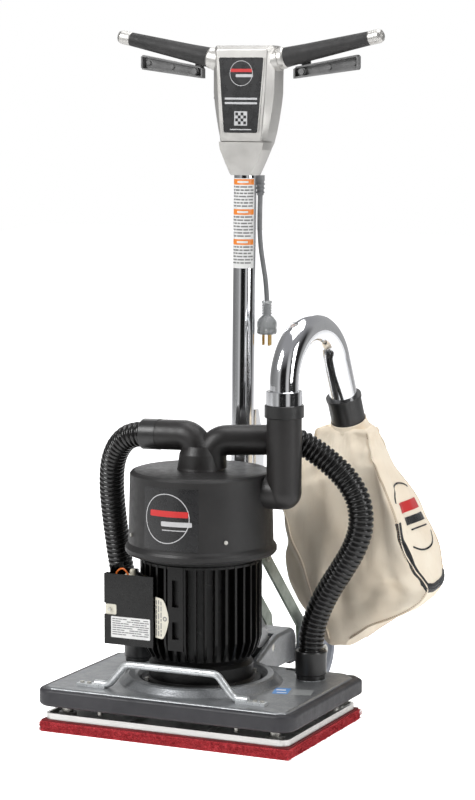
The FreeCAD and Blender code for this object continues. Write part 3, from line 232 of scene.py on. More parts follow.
hammered("deck_paint_finish", (0.20, 0.21, 0.22), (0.30, 0.31, 0.32)).on("housing")
hammered("yoke_paint_finish", (0.24, 0.25, 0.26), (0.34, 0.35, 0.36)).on("handle_yoke")
surface("motor_paint", (0.0015, 0.0014, 0.0013), (0.004, 0.0038, 0.0036), (0.26, 0.42), 1300, 0.0004,
        patch=20, strength=0.5, Specular_IOR_Level=0.32
    ).on("motor_frame", "lower_end_bell", "upper_end_bell")
surface("shroud_plastic", (0.008, 0.0075, 0.0075), (0.015, 0.014, 0.014), (0.36, 0.52), 900, 0.0004,
        patch=12, strength=0.55).on("fan_shroud")
surface("pipe_plastic", (0.009, 0.008, 0.008), (0.016, 0.0145, 0.014), (0.34, 0.5), 700, 0.0004, patch=14,
        strength=0.45).on("intake_manifold", "exhaust_stack")
surface("box_paint", (0.004, 0.004, 0.004), (0.009, 0.009, 0.009), (0.2, 0.34), 1500, 0.0001, patch=16,
        strength=0.3, Specular_IOR_Level=0.35).on("junction_box", "junction_box_cover")
surface("bumper_rubber", (0.018, 0.018, 0.022), (0.033, 0.032, 0.037), (0.4, 0.58), 1100, 0.0003, patch=10,
        strength=0.4).on("bumper")
surface("soft_black_rubber", (0.01, 0.01, 0.01), (0.022, 0.022, 0.022), (0.42, 0.6), 1500, 0.0002, patch=20
    ).on("isolator_rubbers", "lock_lever", "power_switch", "safety_button")
surface("backing_felt", (0.10, 0.006, 0.008), (0.20, 0.012, 0.016), (0.7, 0.85), 1300, 0.0005, patch=40
    ).on("pad_backing")
surface("cuff_rubber", (0.008, 0.008, 0.008), (0.017, 0.017, 0.017), (0.28, 0.42), 1400, 0.0002, patch=22,
        strength=0.4, Coat_Weight=0.2, Coat_Roughness=0.3).on("hose_cuffs", "stack_clamp", "bag_cuff")
hose_plastic = surface("hose_plastic", (0.004, 0.0038, 0.0036), (0.009, 0.0085, 0.008), (0.16, 0.28), 1600,
                       0.0001, patch=24, strength=0.3, Specular_IOR_Level=0.5)
surface("grip_rubber", (0.012, 0.012, 0.012), (0.026, 0.025, 0.025), (0.5, 0.68), 1700, 0.0003, patch=18
    ).on("grips")
surface("wheel_plastic", (0.16, 0.18, 0.22), (0.24, 0.26, 0.30), (0.38, 0.55), 1200, 0.0002, patch=25
    ).on("wheel_left", "wheel_right")
surface("lever_plastic", (0.14, 0.14, 0.14), (0.22, 0.22, 0.22), (0.25, 0.4), 1100, 0.0002, patch=30,
        metal=0.3).on("lever_left", "lever_right", "lever_brackets")
cord_rubber = surface("cord_rubber", (0.17, 0.175, 0.18), (0.25, 0.255, 0.26), (0.4, 0.55), 1800, 0.0002,
                      patch=40).on("cord_gland")
cast_silver = surface("cast_silver", (0.44, 0.43, 0.41), (0.57, 0.56, 0.54), (0.34, 0.46), 1400, 0.0002,
                      metal=0.75, patch=9, strength=0.35, Coat_Weight=0.15, Coat_Roughness=0.3
    ).on("head_housing", "head_rear_cover")
surface("lift_silver", (0.55, 0.57, 0.58), (0.72, 0.74, 0.75), (0.25, 0.38), 1200, 0.0001, metal=0.6,
        patch=30, strength=0.3).on("lift_handle")
surface("strut_zinc", (0.20, 0.23, 0.19), (0.36, 0.39, 0.34), (0.36, 0.55), 800, 0.0002, metal=0.7,
        patch=22).on("struts")
surface("cast_iron", (0.09, 0.09, 0.09), (0.16, 0.155, 0.15), (0.5, 0.7), 700, 0.0005, metal=0.4
    ).on("counterweight")
surface("fan_plastic", (0.02, 0.02, 0.02), (0.04, 0.04, 0.04), (0.4, 0.5), 1200, 0.0002
    ).on("cooling_fan", "dust_impeller")
brushed("laminated_steel", (0.22, 0.22, 0.22), (0.36, 0.36, 0.36), (0.4, 0.55), "x"
    ).on("stator", "rotor_core", "fan_plates")
brushed("plate_aluminium", (0.58, 0.575, 0.56), (0.80, 0.79, 0.77), (0.3, 0.42), "x").on("pad_plate")
brushed("bar_aluminium", (0.46, 0.45, 0.43), (0.62, 0.61, 0.59), (0.36, 0.46), "x").on("handlebars")
brushed("ground_steel", (0.42, 0.42, 0.42), (0.58, 0.58, 0.58), (0.25, 0.4), "z"
    ).on("pad_bearing", "motor_bearings", "motor_shaft", "capacitor")
surface("zinc_plate", (0.45, 0.44, 0.40), (0.62, 0.61, 0.57), (0.25, 0.42), 900, 0.0001, metal=0.9,
        patch=60).on("fasteners", "isolator_studs", "axle", "pivot_pin", "slide_bolt", "handle_screws")
surface("brass", (0.62, 0.40, 0.12), (0.80, 0.56, 0.22), (0.2, 0.34), 900, 0.0001, metal=1.0, patch=90
    ).on("plug_blades")


def chromed():
    """Polished chrome with faint smears."""
    made = Finish("chrome_finish", (0.86, 0.87, 0.89), Metallic=1.0)
    smear = made.noise(9, 5, 0.65, made.stretched((1, 1, 0.25)))
    made.feed(Roughness=made.span(smear, 0.4, 0.75, 0.08, 0.2))
    tint = made.blend(made.span(smear, 0.45, 0.7), (0.88, 0.89, 0.91), (0.76, 0.77, 0.79))
    return made.feed(Base_Color=tint)


chromed().on("handle_tube", "slotted_guide", "u_tube", "u_tube_collar")


# ---- mesh helpers ----

def mesh_object(name, points, faces, finishes, body, smooth=True, marks=None):
    """A mesh piece that rides on a body. marks gives each face's place in the list of finishes."""
    mesh = bpy.data.meshes.new(name)
    mesh.from_pydata([tuple(point) for point in points], [], faces)
    for finish in finishes:
        mesh.materials.append(finish.material)
    for index, face in enumerate(mesh.polygons):
        face.use_smooth = smooth
        face.material_index = marks[index] if marks else 0
    mesh.update()
    made = add_object(name, mesh)
    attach(made, body)
    return made


def grid_faces(rows, around):
    """Faces between neighbouring closed rows of points."""
    faces = []
    for row in range(rows - 1):
        for step in range(around):
            beside = (step + 1) % around
            low, high = row * around, (row + 1) * around
            faces.append((low + step, low + beside, high + beside, high + step))
    return faces


def tube_mesh(name, line, radii, segments, finish, body):
    """A capped tube along a line of points with one radius for each point, turned without twist."""
    points = []
    side = None
    for index, here in enumerate(line):
        before = line[max(index - 1, 0)]
        after = line[min(index + 1, len(line) - 1)]
        along = (after - before).normalized()
        if side is None:
            side = along.orthogonal().normalized()
        side = (side - along * side.dot(along)).normalized()
        across = along.cross(side)
        for step in range(segments):
            turn = 2 * math.pi * step / segments
            points.append(here + (side * math.cos(turn) + across * math.sin(turn)) * radii[index])
    faces = grid_faces(len(line), segments)
    faces.append(tuple(range(segments))[::-1])
    faces.append(tuple(range((len(line) - 1) * segments, len(line) * segments)))
    return mesh_object(name, points, faces, [finish], body)


def spline_curve(name, route):
    """A smooth curve whose control points are a route's points in metres."""
    curve = bpy.data.curves.new(name, "CURVE")
    curve.dimensions = "3D"
    curve.resolution_u = 24
    spline = curve.splines.new("NURBS")
    spline.points.add(len(route) - 1)
    for point, place in zip(spline.points, route):
        point.co = (*place, 1)
    spline.order_u = 3
    spline.use_endpoint_u = True
    return curve


def read_line(route):
    """The points that the smooth curve through a route has."""
    guide = add_object("route_guide", spline_curve("route_guide", route))
    bpy.context.view_layer.update()
    mesh = bpy.data.meshes.new_from_object(guide)
    line = [vertex.co.copy() for vertex in mesh.vertices]
    bpy.data.objects.remove(guide)
    bpy.data.meshes.remove(mesh)
    return line


def spaced(line, gap):
    """Points at even distances along a line, and the line's length."""
    reach = [0.0]
    for before, after in zip(line, line[1:]):
        reach.append(reach[-1] + (after - before).length)
    count = max(2, round(reach[-1] / gap))
    spots = []
    for step in range(count + 1):
        distance = reach[-1] * step / count
        index = min(max(bisect.bisect_right(reach, distance) - 1, 0), len(line) - 2)
        part = (distance - reach[index]) / max(reach[index + 1] - reach[index], 1e-9)
        spots.append(line[index].lerp(line[index + 1], part))
    return spots, reach[-1]


# ---- cords and hoses ----

RIGHT_HOSE = [
    (0.1222, 0.0583, 0.486), (0.144, 0.0699, 0.486), (0.169, 0.081, 0.469), (0.197, 0.090, 0.447),
    (0.226, 0.094, 0.420), (0.247, 0.0945, 0.386), (0.252, 0.0935, 0.344), (0.239, 0.0925, 0.304),
    (0.215, 0.092, 0.265), (0.188, 0.0915, 0.223), (0.169, 0.0905, 0.180), (0.162, 0.090, 0.146),
    (0.162, 0.090, 0.120),
]
LEFT_HOSE = [
    (-0.097, 0, 0.490), (-0.126, 0.001, 0.489), (-0.155, 0.009, 0.471), (-0.176, 0.021, 0.440),
    (-0.187, 0.035, 0.400), (-0.1915, 0.049, 0.356), (-0.193, 0.063, 0.310), (-0.193, 0.075, 0.264),
    (-0.189, 0.083, 0.220), (-0.178, 0.088, 0.180), (-0.1625, 0.090, 0.150), (-0.162, 0.090, 0.120),
]
CORD_ROUTE = [
    (0.0195, 0.1946, 0.914), (0.0195, 0.1946, 0.884), (0.0186, 0.1948, 0.857), (0.018, 0.195, 0.827),
    (0.020, 0.1952, 0.795), (0.025, 0.1953, 0.764), (0.0305, 0.195, 0.734), (0.032, 0.195, 0.704),
]
HOSE_CREST = 0.0213
# how much a rib is rounded off, how deep a groove is, and where in half a pitch it starts
HOSE_CROWN = 0.0025
HOSE_GROOVE = 0.0027
HOSE_GROOVE_START = 0.26
HOSE_PITCH = 0.0086
HOSE_STEPS = 10
CORD_DIAMETER = 0.0082
PLUG_FLUTES = 12
PLUG_FLUTE_DEPTH = 0.0012
PLUG_FLUTED_FROM = 0.012


def make_hose(name, node, route):
    """A corrugated hose: rounded ribs with narrow grooves between them, on the route's smooth line."""
    line = read_line(route)
    spots, length = spaced(line, HOSE_PITCH / HOSE_STEPS)
    radii = []
    for index in range(len(spots)):
        phase = abs((index % HOSE_STEPS) / HOSE_STEPS - 0.5)
        dip = max(0.0, (phase - HOSE_GROOVE_START) / (0.5 - HOSE_GROOVE_START))
        radii.append(HOSE_CREST - HOSE_CROWN * phase ** 2 - HOSE_GROOVE * dip)
    hose = tube_mesh(name, spots, radii, 40, hose_plastic, "base")
    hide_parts(node)
    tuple(route[0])
    [tuple(point) for point in line]


make_hose("vacuum_hose_left", "hose_left", LEFT_HOSE)
make_hose("vacuum_hose_right", "hose_right", RIGHT_HOSE)


def lathe(name, outline, centre, finish, body, segments=48, flutes=0):
    """A turned piece from (radius, height) pairs about a vertical line. Flutes dent its wider part."""
    points = []
    for radius, height in outline:
        for step in range(segments):
            turn = 2 * math.pi * step / segments
            reach = radius
            if flutes and radius > PLUG_FLUTED_FROM:
                reach -= PLUG_FLUTE_DEPTH * (0.5 - 0.5 * math.cos(flutes * turn))
            points.append((centre[0] + reach * math.cos(turn), centre[1] + reach * math.sin(turn),
                           centre[2] + height))
    faces = [(a, d, c, b) for a, b, c, d in grid_faces(len(outline), segments)]
    faces.append(tuple(range(segments)))
    faces.append(tuple(range((len(outline) - 1) * segments, len(outline) * segments))[::-1])
    return mesh_object(name, points, faces, [finish], body)


def clear_plastic():
    """Clear moulded plastic with a slight haze."""
    made = Finish("clear_plug_plastic", (0.86, 0.88, 0.88), IOR=1.5, Transmission_Weight=0.8)
    haze = made.noise(260, 4, 0.6)
    made.feed(Roughness=made.span(haze, 0.35, 0.7, 0.1, 0.28))
    made.feed(Base_Color=made.blend(made.span(haze, 0.3, 0.7), (0.78, 0.81, 0.81), (0.93, 0.95, 0.95)))
    return made.bumped((haze, 0.0002, 0.3))


def make_cord():
    """The mains cord, its ribbed clear plug and the core that shows inside the plug."""
    curve = spline_curve("power_cord_line", CORD_ROUTE)
    curve.bevel_depth = CORD_DIAMETER / 2
    curve.bevel_resolution = 6
    curve.use_fill_caps = True
    cord = add_object("mains_cord", curve)
    cord_rubber.on(cord)
    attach(cord, "handle")
    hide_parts("power_cord")
    neck = [(0.0045, 0), (0.0085, -0.0005)]
    for step in range(5):
        top = -0.003 - 0.0046 * step
        neck += [(0.0086, top), (0.0086, top - 0.0022), (0.0070, top - 0.0026), (0.0070, top - 0.0042)]
    body = [(0.0088, -0.0265), (0.0125, -0.030), (0.0160, -0.034), (0.0172, -0.038), (0.0172, -0.046),
            (0.0165, -0.0465), (0.0165, -0.0485), (0.0172, -0.049), (0.0172, -0.056), (0.0155, -0.058)]
    plug = lathe("clear_plug", neck + body, CORD_ROUTE[-1], clear_plastic(), "handle", 72, PLUG_FLUTES)
    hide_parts("plug_body")
    core = lathe("plug_core", [(0.0035, -0.004), (0.0036, -0.026), (0.0115, -0.036), (0.0118, -0.0565),
                               (0.0100, -0.0572)], CORD_ROUTE[-1], cord_rubber, "handle", 24)
    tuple(CORD_ROUTE[0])


make_cord()


# ---- dust bag ----

BAG_RINGS = [
    # height, then the front left seam, front right seam, rear right, rear left and left corners
    (0.116, (0.150, 0.214), (0.176, 0.216), (0.178, 0.234), (0.154, 0.238), (0.144, 0.226)),
    (0.134, (0.150, 0.203), (0.194, 0.205), (0.204, 0.252), (0.128, 0.256), (0.114, 0.238)),
    (0.162, (0.143, 0.188), (0.238, 0.192), (0.252, 0.272), (0.100, 0.280), (0.086, 0.248)),
    (0.196, (0.134, 0.176), (0.313, 0.188), (0.306, 0.290), (0.078, 0.296), (0.076, 0.224)),
    (0.226, (0.120, 0.172), (0.337, 0.204), (0.331, 0.292), (0.068, 0.304), (0.062, 0.218)),
    (0.262, (0.102, 0.170), (0.322, 0.184), (0.326, 0.306), (0.060, 0.310), (0.056, 0.210)),
    (0.300, (0.080, 0.172), (0.306, 0.172), (0.315, 0.312), (0.060, 0.314), (0.056, 0.204)),
    (0.350, (0.060, 0.178), (0.298, 0.170), (0.291, 0.313), (0.058, 0.316), (0.054, 0.206)),
    (0.390, (0.058, 0.180), (0.280, 0.172), (0.266, 0.311), (0.060, 0.312), (0.054, 0.212)),
    (0.425, (0.067, 0.184), (0.264, 0.176), (0.244, 0.304), (0.070, 0.300), (0.058, 0.232)),
    (0.455, (0.084, 0.190), (0.245, 0.183), (0.230, 0.288), (0.090, 0.284), (0.076, 0.236)),
    (0.478, (0.108, 0.198), (0.229, 0.191), (0.218, 0.268), (0.118, 0.268), (0.102, 0.236)),
    (0.492, (0.138, 0.208), (0.212, 0.199), (0.208, 0.250), (0.144, 0.250), (0.134, 0.230)),
]
BAG_SIDES = (34, 18, 34, 8, 12)
BAG_ROWS = 58
CUFF_LOW = Vector((0.1744, 0.2235, 0.4943))
CUFF_AXIS = Vector((0.0457, 0.3718, -0.9272)).normalized()
CUFF_SIDE = (Vector((1, 0, 0)) - CUFF_AXIS * CUFF_AXIS.x).normalized()
CUFF_ACROSS = CUFF_AXIS.cross(CUFF_SIDE)
# how far each row round the mouth is above the cuff's low end, and its radius
MOUTH_ROWS = ((-0.006, 0.0345), (-0.001, 0.0325), (0.005, 0.0312), (0.010, 0.0309))
# how far a side bows out, as a share of its width
BAG_BULGE = 0.05


def smooth_mix(values, place):
    """A Catmull-Rom curve through a list of vectors, read at a fractional index."""
    index = min(int(place), len(values) - 2)
    part = place - index
    before = values[max(index - 1, 0)]
    here, there = values[index], values[index + 1]
    after = values[min(index + 2, len(values) - 1)]
    slope = there - before
    bend = 2 * before - 5 * here + 4 * there - after
    twist = 3 * here - before - 3 * there + after
    return 0.5 * ((2 * here) + slope * part + bend * part ** 2 + twist * part ** 3)


def bag_corner(number, place):
    """A corner of the bag in space at a fractional ring."""
    return smooth_mix([Vector((*ring[1 + number], ring[0])) for ring in BAG_RINGS], place)


def bag_grid():
    """The bag's rest shape: rows from the closed hem at the bottom to the mouth round the cuff."""
    rows = []
    for row in range(BAG_ROWS + 1):
        place = (len(BAG_RINGS) - 1) * row / BAG_ROWS
        corners = [bag_corner(number, place) for number in range(5)]
        level = []
        for number, steps in enumerate(BAG_SIDES):
            here, there = corners[number], corners[(number + 1) % 5]
            span = there - here
            outward = Vector((span.y, -span.x, 0))
            for step in range(steps):
                share = step / steps
                level.append(here + span * share + outward * (BAG_BULGE * math.sin(math.pi * share)))
        rows.append(level)
    middle = sum(rows[-1], Vector()) / len(rows[-1])
    for lift, radius in MOUTH_ROWS:
        center = CUFF_LOW - CUFF_AXIS * lift
        level = []
        for point in rows[-1]:
            turn = math.atan2((point - middle).dot(CUFF_ACROSS), (point - middle).dot(CUFF_SIDE))
            level.append(center + (CUFF_SIDE * math.cos(turn) + CUFF_ACROSS * math.sin(turn)) * radius)
        rows.append(level)
    return rows


def canvas():
    """Unbleached canvas: a fine weave, slubs, slow lighter and darker patches."""
    made = Finish("bag_canvas", (0.86, 0.77, 0.63), Roughness=0.9, Sheen_Weight=0.1, Sheen_Roughness=0.5)
    thread = {"Vector": made.spot, "Scale": 520, "Distortion": 1.2, "Detail": 2, "Detail Scale": 2}
    warp = made.node("ShaderNodeTexWave", thread, bands_direction="Z").outputs["Fac"]
    weft = made.node("ShaderNodeTexWave", thread, bands_direction="X").outputs["Fac"]
    weave = made.math("MULTIPLY", warp, weft)
    slubs = made.noise(120, 4, 0.6, made.stretched((1, 1, 0.2)))
    clouds = made.noise(11, 4, 0.55)
    color = made.blend(made.span(clouds, 0.3, 0.7), (0.87, 0.745, 0.58), (0.95, 0.86, 0.71))
    color = made.blend(made.span(slubs, 0.55, 0.8, 0, 0.4), color, (0.74, 0.64, 0.50))
    made.feed(Base_Color=color)
    return made.bumped((weave, 0.0003, 0.5), (slubs, 0.0003, 0.4))


canvas_finish = canvas()


def folds(point):
    """How far creases push a point of the bag in, in metres: gathers below the cuff and slow puckers."""
    below = (CUFF_LOW - point).length
    turn = math.atan2(point.y - CUFF_LOW.y, point.x - CUFF_LOW.x)
    gathers = math.sin(7 * turn + 3 * noise.noise(point * 14)) * math.exp(-((below - 0.05) / 0.055) ** 2)
    slow = noise.noise(point * 13 + Vector((3, 1, 5))) + 0.5 * noise.noise(point * 27)
    return 0.0035 * gathers + 0.0075 * slow


CREASES = [
    # ends of a crease, its width and its depth
    ((0.220, 0.186, 0.482), (0.262, 0.166, 0.418), 0.010, 0.010),
    ((0.262, 0.166, 0.418), (0.296, 0.158, 0.352), 0.009, 0.012),
    ((0.296, 0.158, 0.352), (0.300, 0.160, 0.300), 0.010, 0.006),
    ((0.215, 0.160, 0.440), (0.262, 0.166, 0.446), 0.007, 0.006),
    ((0.100, 0.160, 0.400), (0.165, 0.152, 0.425), 0.008, 0.007),
    ((0.120, 0.155, 0.430), (0.140, 0.152, 0.380), 0.006, 0.005),
    ((0.185, 0.150, 0.390), (0.215, 0.148, 0.300), 0.020, 0.008),
    ((0.270, 0.170, 0.250), (0.285, 0.178, 0.205), 0.008, 0.006),
    ((0.240, 0.168, 0.235), (0.290, 0.175, 0.222), 0.008, 0.005),
    ((0.160, 0.160, 0.260), (0.185, 0.175, 0.180), 0.014, 0.006),
    ((0.060, 0.200, 0.300), (0.110, 0.205, 0.200), 0.010, 0.006),
]


def crease_depth(point):
    """How far the named creases push a point of the bag in, each with a low swell on both sides."""
    total = 0.0
    for start, end, width, depth in CREASES:
        start, end = Vector(start), Vector(end)
        along = end - start
        share = max(0.0, min(1.0, (point - start).dot(along) / along.length_squared))
        near = point - (start + along * share)
        distance = math.hypot(near.x, near.z)
        if abs(near.y) < 0.045:
            taper = math.sin(math.pi * (0.12 + 0.76 * share))
            total += depth * taper * (math.exp(-(distance / width) ** 2)
                                      - 0.45 * math.exp(-((distance - 1.9 * width) / width) ** 2))
    return total


def settle_bag(bag, pinned, rest):
    """Let the cloth fill and hang a little, then keep the result within a small distance of its start."""
    group = bag.vertex_groups.new(name="pinned")
    group.add(pinned, 1.0, "REPLACE")
    cloth = bag.modifiers.new("cloth", "CLOTH")
    settings = cloth.settings
    settings.quality = 5
    settings.mass = 0.25
    settings.tension_stiffness = settings.compression_stiffness = 25
    settings.shear_stiffness = 12
    settings.bending_stiffness = 1.2
    settings.shrink_min = -0.045
    settings.use_pressure = True
    settings.uniform_pressure_force = 1.4
    settings.vertex_group_mass = "pinned"
    cloth.collision_settings.use_collision = False
    cloth.point_cache.frame_start, cloth.point_cache.frame_end = 1, 24
    bag.modifiers.active = cloth
    for frame_number in range(1, 25):
        scene.frame_set(frame_number)
    settled = bag.evaluated_get(bpy.context.evaluated_depsgraph_get())
    places = [vertex.co.copy() for vertex in settled.data.vertices]
    bag.modifiers.clear()
    bag.vertex_groups.clear()
    scene.frame_set(1)
    for vertex, start, place in zip(bag.data.vertices, rest, places):
        most = 0.004 + 0.008 * min(max((start.z - 0.20) / 0.15, 0.0), 1.0)
        move = place - start
        if move.length > most:
            move = move.normalized() * (most + 0.15 * min(move.length - most, 0.02))
        vertex.co = start + move


def make_bag():
    """The bag as a closed shell. Gives its surface and the lines of its four front and rear seams."""
    rows = bag_grid()
    around = len(rows[0])
    points = [point for level in rows for point in level]
    faces = grid_faces(len(rows), around)
    points.append(sum(rows[0], Vector()) / around)
    faces += [((step + 1) % around, step, len(points) - 1) for step in range(around)]
    bag = mesh_object("canvas_bag", points, faces, [canvas_finish], "bag_swivel")
    normals = [vertex.normal.copy() for vertex in bag.data.vertices]
    loose = (BAG_ROWS - 3) * around
    for index, vertex in enumerate(bag.data.vertices):
        if index < loose or index == len(points) - 1:
            vertex.co -= normals[index] * folds(vertex.co)
    rest = [vertex.co.copy() for vertex in bag.data.vertices]
    settle_bag(bag, list(range(loose, len(points) - 1)), rest)
    for index, vertex in enumerate(bag.data.vertices):
        if index < loose:
            vertex.co -= normals[index] * crease_depth(vertex.co)
    bag.data.update()
    columns = (0, BAG_SIDES[0], sum(BAG_SIDES[:2]), sum(BAG_SIDES[:3]))
    lines = [[bag.data.vertices[row * around + column].co.copy() for row in range(BAG_ROWS - 1)]
             for column in columns]
    fine = bag.modifiers.new("smooth", "SUBSURF")
    fine.levels = fine.render_levels = 1
    shell = bag.modifiers.new("thickness", "SOLIDIFY")
    shell.thickness = 0.0011
    shell.offset = -1
    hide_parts("dust_bag")
    bpy.context.view_layer.update()
    return BVHTree.FromObject(bag, bpy.context.evaluated_depsgraph_get()), lines


bag_surface, bag_lines = make_bag()


# ---- labels and printed plates ----

def flat_on(origin, across, up):
    """A flat place for a label: across and up in its plane, height along the normal."""
    origin, across, up = Vector(origin), Vector(across).normalized(), Vector(up).normalized()
    normal = across.cross(up)
    return lambda u, v, height: origin + across * u + up * v + normal * height


def wrapped_on(radius, middle, lean=(0.0, 0.0), taper=0.0):
    """A place round an upright cylinder or cone: u along the arc from the middle angle, v the height."""
    def spot(u, v, height):
        turn = math.radians(middle) + u / (radius + taper * v)
        reach = radius + taper * v + height
        return Vector((reach * math.sin(turn), lean[0] + lean[1] * v - reach * math.cos(turn), v))
    return spot


def bar(left, low, right, high, corner=0.0, steps=2):
    """Pairs of points, low and high, from left to right of a rectangle with optional round corners."""
    spots = [left + (right - left) * step / steps for step in range(steps + 1)]
    if corner:
        for step in range(5):
            inset = corner * (1 - math.cos(math.pi / 2 * step / 5))
            spots += [left + inset, right - inset]
    pairs = []
    for u in sorted(set(round(spot, 7) for spot in spots)):
        edge = min(u - left, right - u)
        rise = corner - math.sqrt(max(corner ** 2 - (corner - edge) ** 2, 0)) if edge < corner else 0.0
        pairs.append(((u, low + rise), (u, high - rise)))
    return pairs


def bars(mark, heights, *boxes):
    """One layer for each rectangle, with the same finish and heights."""
    return [(mark, heights, bar(*box), False) for box in boxes]


def arc(u, v, inner, outer, first, last, steps=24):
    """Pairs of points, outer and inner, along an arc between two angles in degrees."""
    pairs = []
    for step in range(steps + 1):
        turn = math.radians(first + (last - first) * step / steps)
        cosine, sine = math.cos(turn), math.sin(turn)
        pairs.append(((u + outer * cosine, v + outer * sine), (u + inner * cosine, v + inner * sine)))
    return pairs


def ring(u, v, inner, outer, steps=56):
    """Pairs of points, outer and inner, round a full circle."""
    return arc(u, v, inner, outer, 0, 360, steps)[:-1]


def every(start, stop, pitch):
    """Even places from start until stop."""
    while start < stop:
        yield start
        start += pitch


def dashes(start, stop, limit, lengths, gap, chances):
    """Runs of small print along a row, of uneven length: where each starts and ends."""
    while start < stop:
        end = min(start + chances.uniform(*lengths), limit)
        yield start, end
        start = end + gap


def printed(name, spot, layers, finishes, body):
    """Thin closed layers on one place: each is (finish number, (bottom, top), pairs, closed)."""
    points = []
    faces = []
    marks = []
    for mark, heights, pairs, closed in layers:
        start = len(points)
        for (low_u, low_v), (high_u, high_v) in pairs:
            for height in heights:
                points.append(spot(low_u, low_v, height))
                points.append(spot(high_u, high_v, height))
        count = len(pairs)
        made = []
        for index in range(count if closed else count - 1):
            a, b = start + 4 * index, start + 4 * ((index + 1) % count)
            made += [(a + 2, b + 2, b + 3, a + 3), (a, a + 1, b + 1, b), (a, b, b + 2, a + 2),
                     (a + 1, a + 3, b + 3, b + 1)]
        if not closed:
            a, b = start, start + 4 * (count - 1)
            made += [(a, a + 2, a + 3, a + 1), (b, b + 1, b + 3, b + 2)]
        faces += made
        marks += [mark] * len(made)
    made = mesh_object(name, points, faces, finishes, body, smooth=False, marks=marks)
    clean = bmesh.new()
    clean.from_mesh(made.data)
    bmesh.ops.recalc_face_normals(clean, faces=clean.faces)
    clean.to_mesh(made.data)
    clean.free()


def print_ink(name, color, rough=0.35):
    made = Finish(name, color, Coat_Weight=0.3, Coat_Roughness=0.2)
    fade = made.noise(70, 4, 0.6)
    made.feed(Base_Color=made.blend(made.span(fade, 0.3, 0.7), tuple(0.9 * c for c in color), color))
    made.feed(Roughness=made.span(fade, 0.3, 0.7, rough, rough + 0.12))
    return made.bumped((made.noise(1500, 2, 0.5), 0.00005, 0.2))


white_ink = print_ink("white_film", (0.80, 0.80, 0.79))
grey_ink = print_ink("grey_print", (0.20, 0.20, 0.20))
dark_ink = print_ink("black_film", (0.012, 0.012, 0.013), 0.22)
silver_ink = print_ink("silver_print", (0.55, 0.55, 0.56))
red_ink = print_ink("red_print", (0.60, 0.02, 0.02))
orange_ink = print_ink("orange_print", (0.85, 0.24, 0.02))
blue_ink = print_ink("blue_print", (0.02, 0.22, 0.60))
cream_ink = print_ink("cream_plate", (0.74, 0.71, 0.60))
faded_ink = print_ink("faded_film", (0.27, 0.28, 0.28))

TUBE_RADIUS = 0.01905
# y of the handle tube's axis at the floor, and how much it gains with each metre of height
TUBE_AXIS = (0.1524, 0.0254)
TUBE_PRINT_BLOCKS = (0.9125, 0.8615, 0.8105)
HEAD_CENTRE = 1.055
HEAD_FRONT = 0.02102
HEAD_PANEL = (-0.064, 0.0625)
HEAD_PANEL_HALF = (0.0310, 0.0415)
HEAD_PANEL_CORNER = 0.003
# the shroud's radius, carried down to the floor, and how much it gains with each metre of height
SHROUD_RADIUS = 0.12974
SHROUD_TAPER = -0.02609
BOX_FRONT = -0.1020
TAB_FRONT = -0.1004
FIN_RADIUS = 0.1026
DECK_TOP = 0.0770


def label_tube(chances):
    """A white wrap round the handle tube: three orange bands, each over rows of grey bars."""
    tube = wrapped_on(TUBE_RADIUS, 5.5, TUBE_AXIS)
    half = TUBE_RADIUS * math.radians(73)
    film, band, title, ink = (0.00002, 0.00016), (0.00014, 0.00022), (0.0002, 0.00027), (0.00014, 0.00021)
    runs = (-half + 0.002, half - 0.006, half - 0.002, (0.004, 0.013), 0.0014)
    layers = bars(0, film, (-half, 0.761, half, 0.914, 0.002, 24))
    for top in TUBE_PRINT_BLOCKS:
        layers += bars(2, band, (-half + 0.001, top - 0.0095, half - 0.001, top, 0.0, 20))
        layers += bars(0, title, (-0.008, top - 0.0066, 0.012, top - 0.003, 0.0, 8))
        for row in range(7):
            v = top - 0.0145 - 0.0054 * row
            if v > 0.764:
                for u, end in dashes(*runs, chances):
                    layers += bars(1, ink, (u, v, end, v + 0.0026, 0.0, 5))
    printed("tube_label", tube, layers, [white_ink, grey_ink, orange_ink], "handle")


def head_panel():
    """Heights up the head's label, each with its half width and how far a round corner cuts in."""
    low, high = HEAD_PANEL
    heights = [(low + (high - low) * step / 8, 0) for step in range(1, 8)]
    for step in range(9):
        turn = math.pi / 2 * step / 8
        inset = HEAD_PANEL_CORNER * (1 - math.cos(turn))
        cut = HEAD_PANEL_CORNER * (1 - math.sin(turn))
        heights += [(low + inset, cut), (high - inset, cut)]
    narrow, wide = HEAD_PANEL_HALF
    return [(v, narrow + (wide - narrow) * (v - low) / (high - low), cut) for v, cut in sorted(heights)]


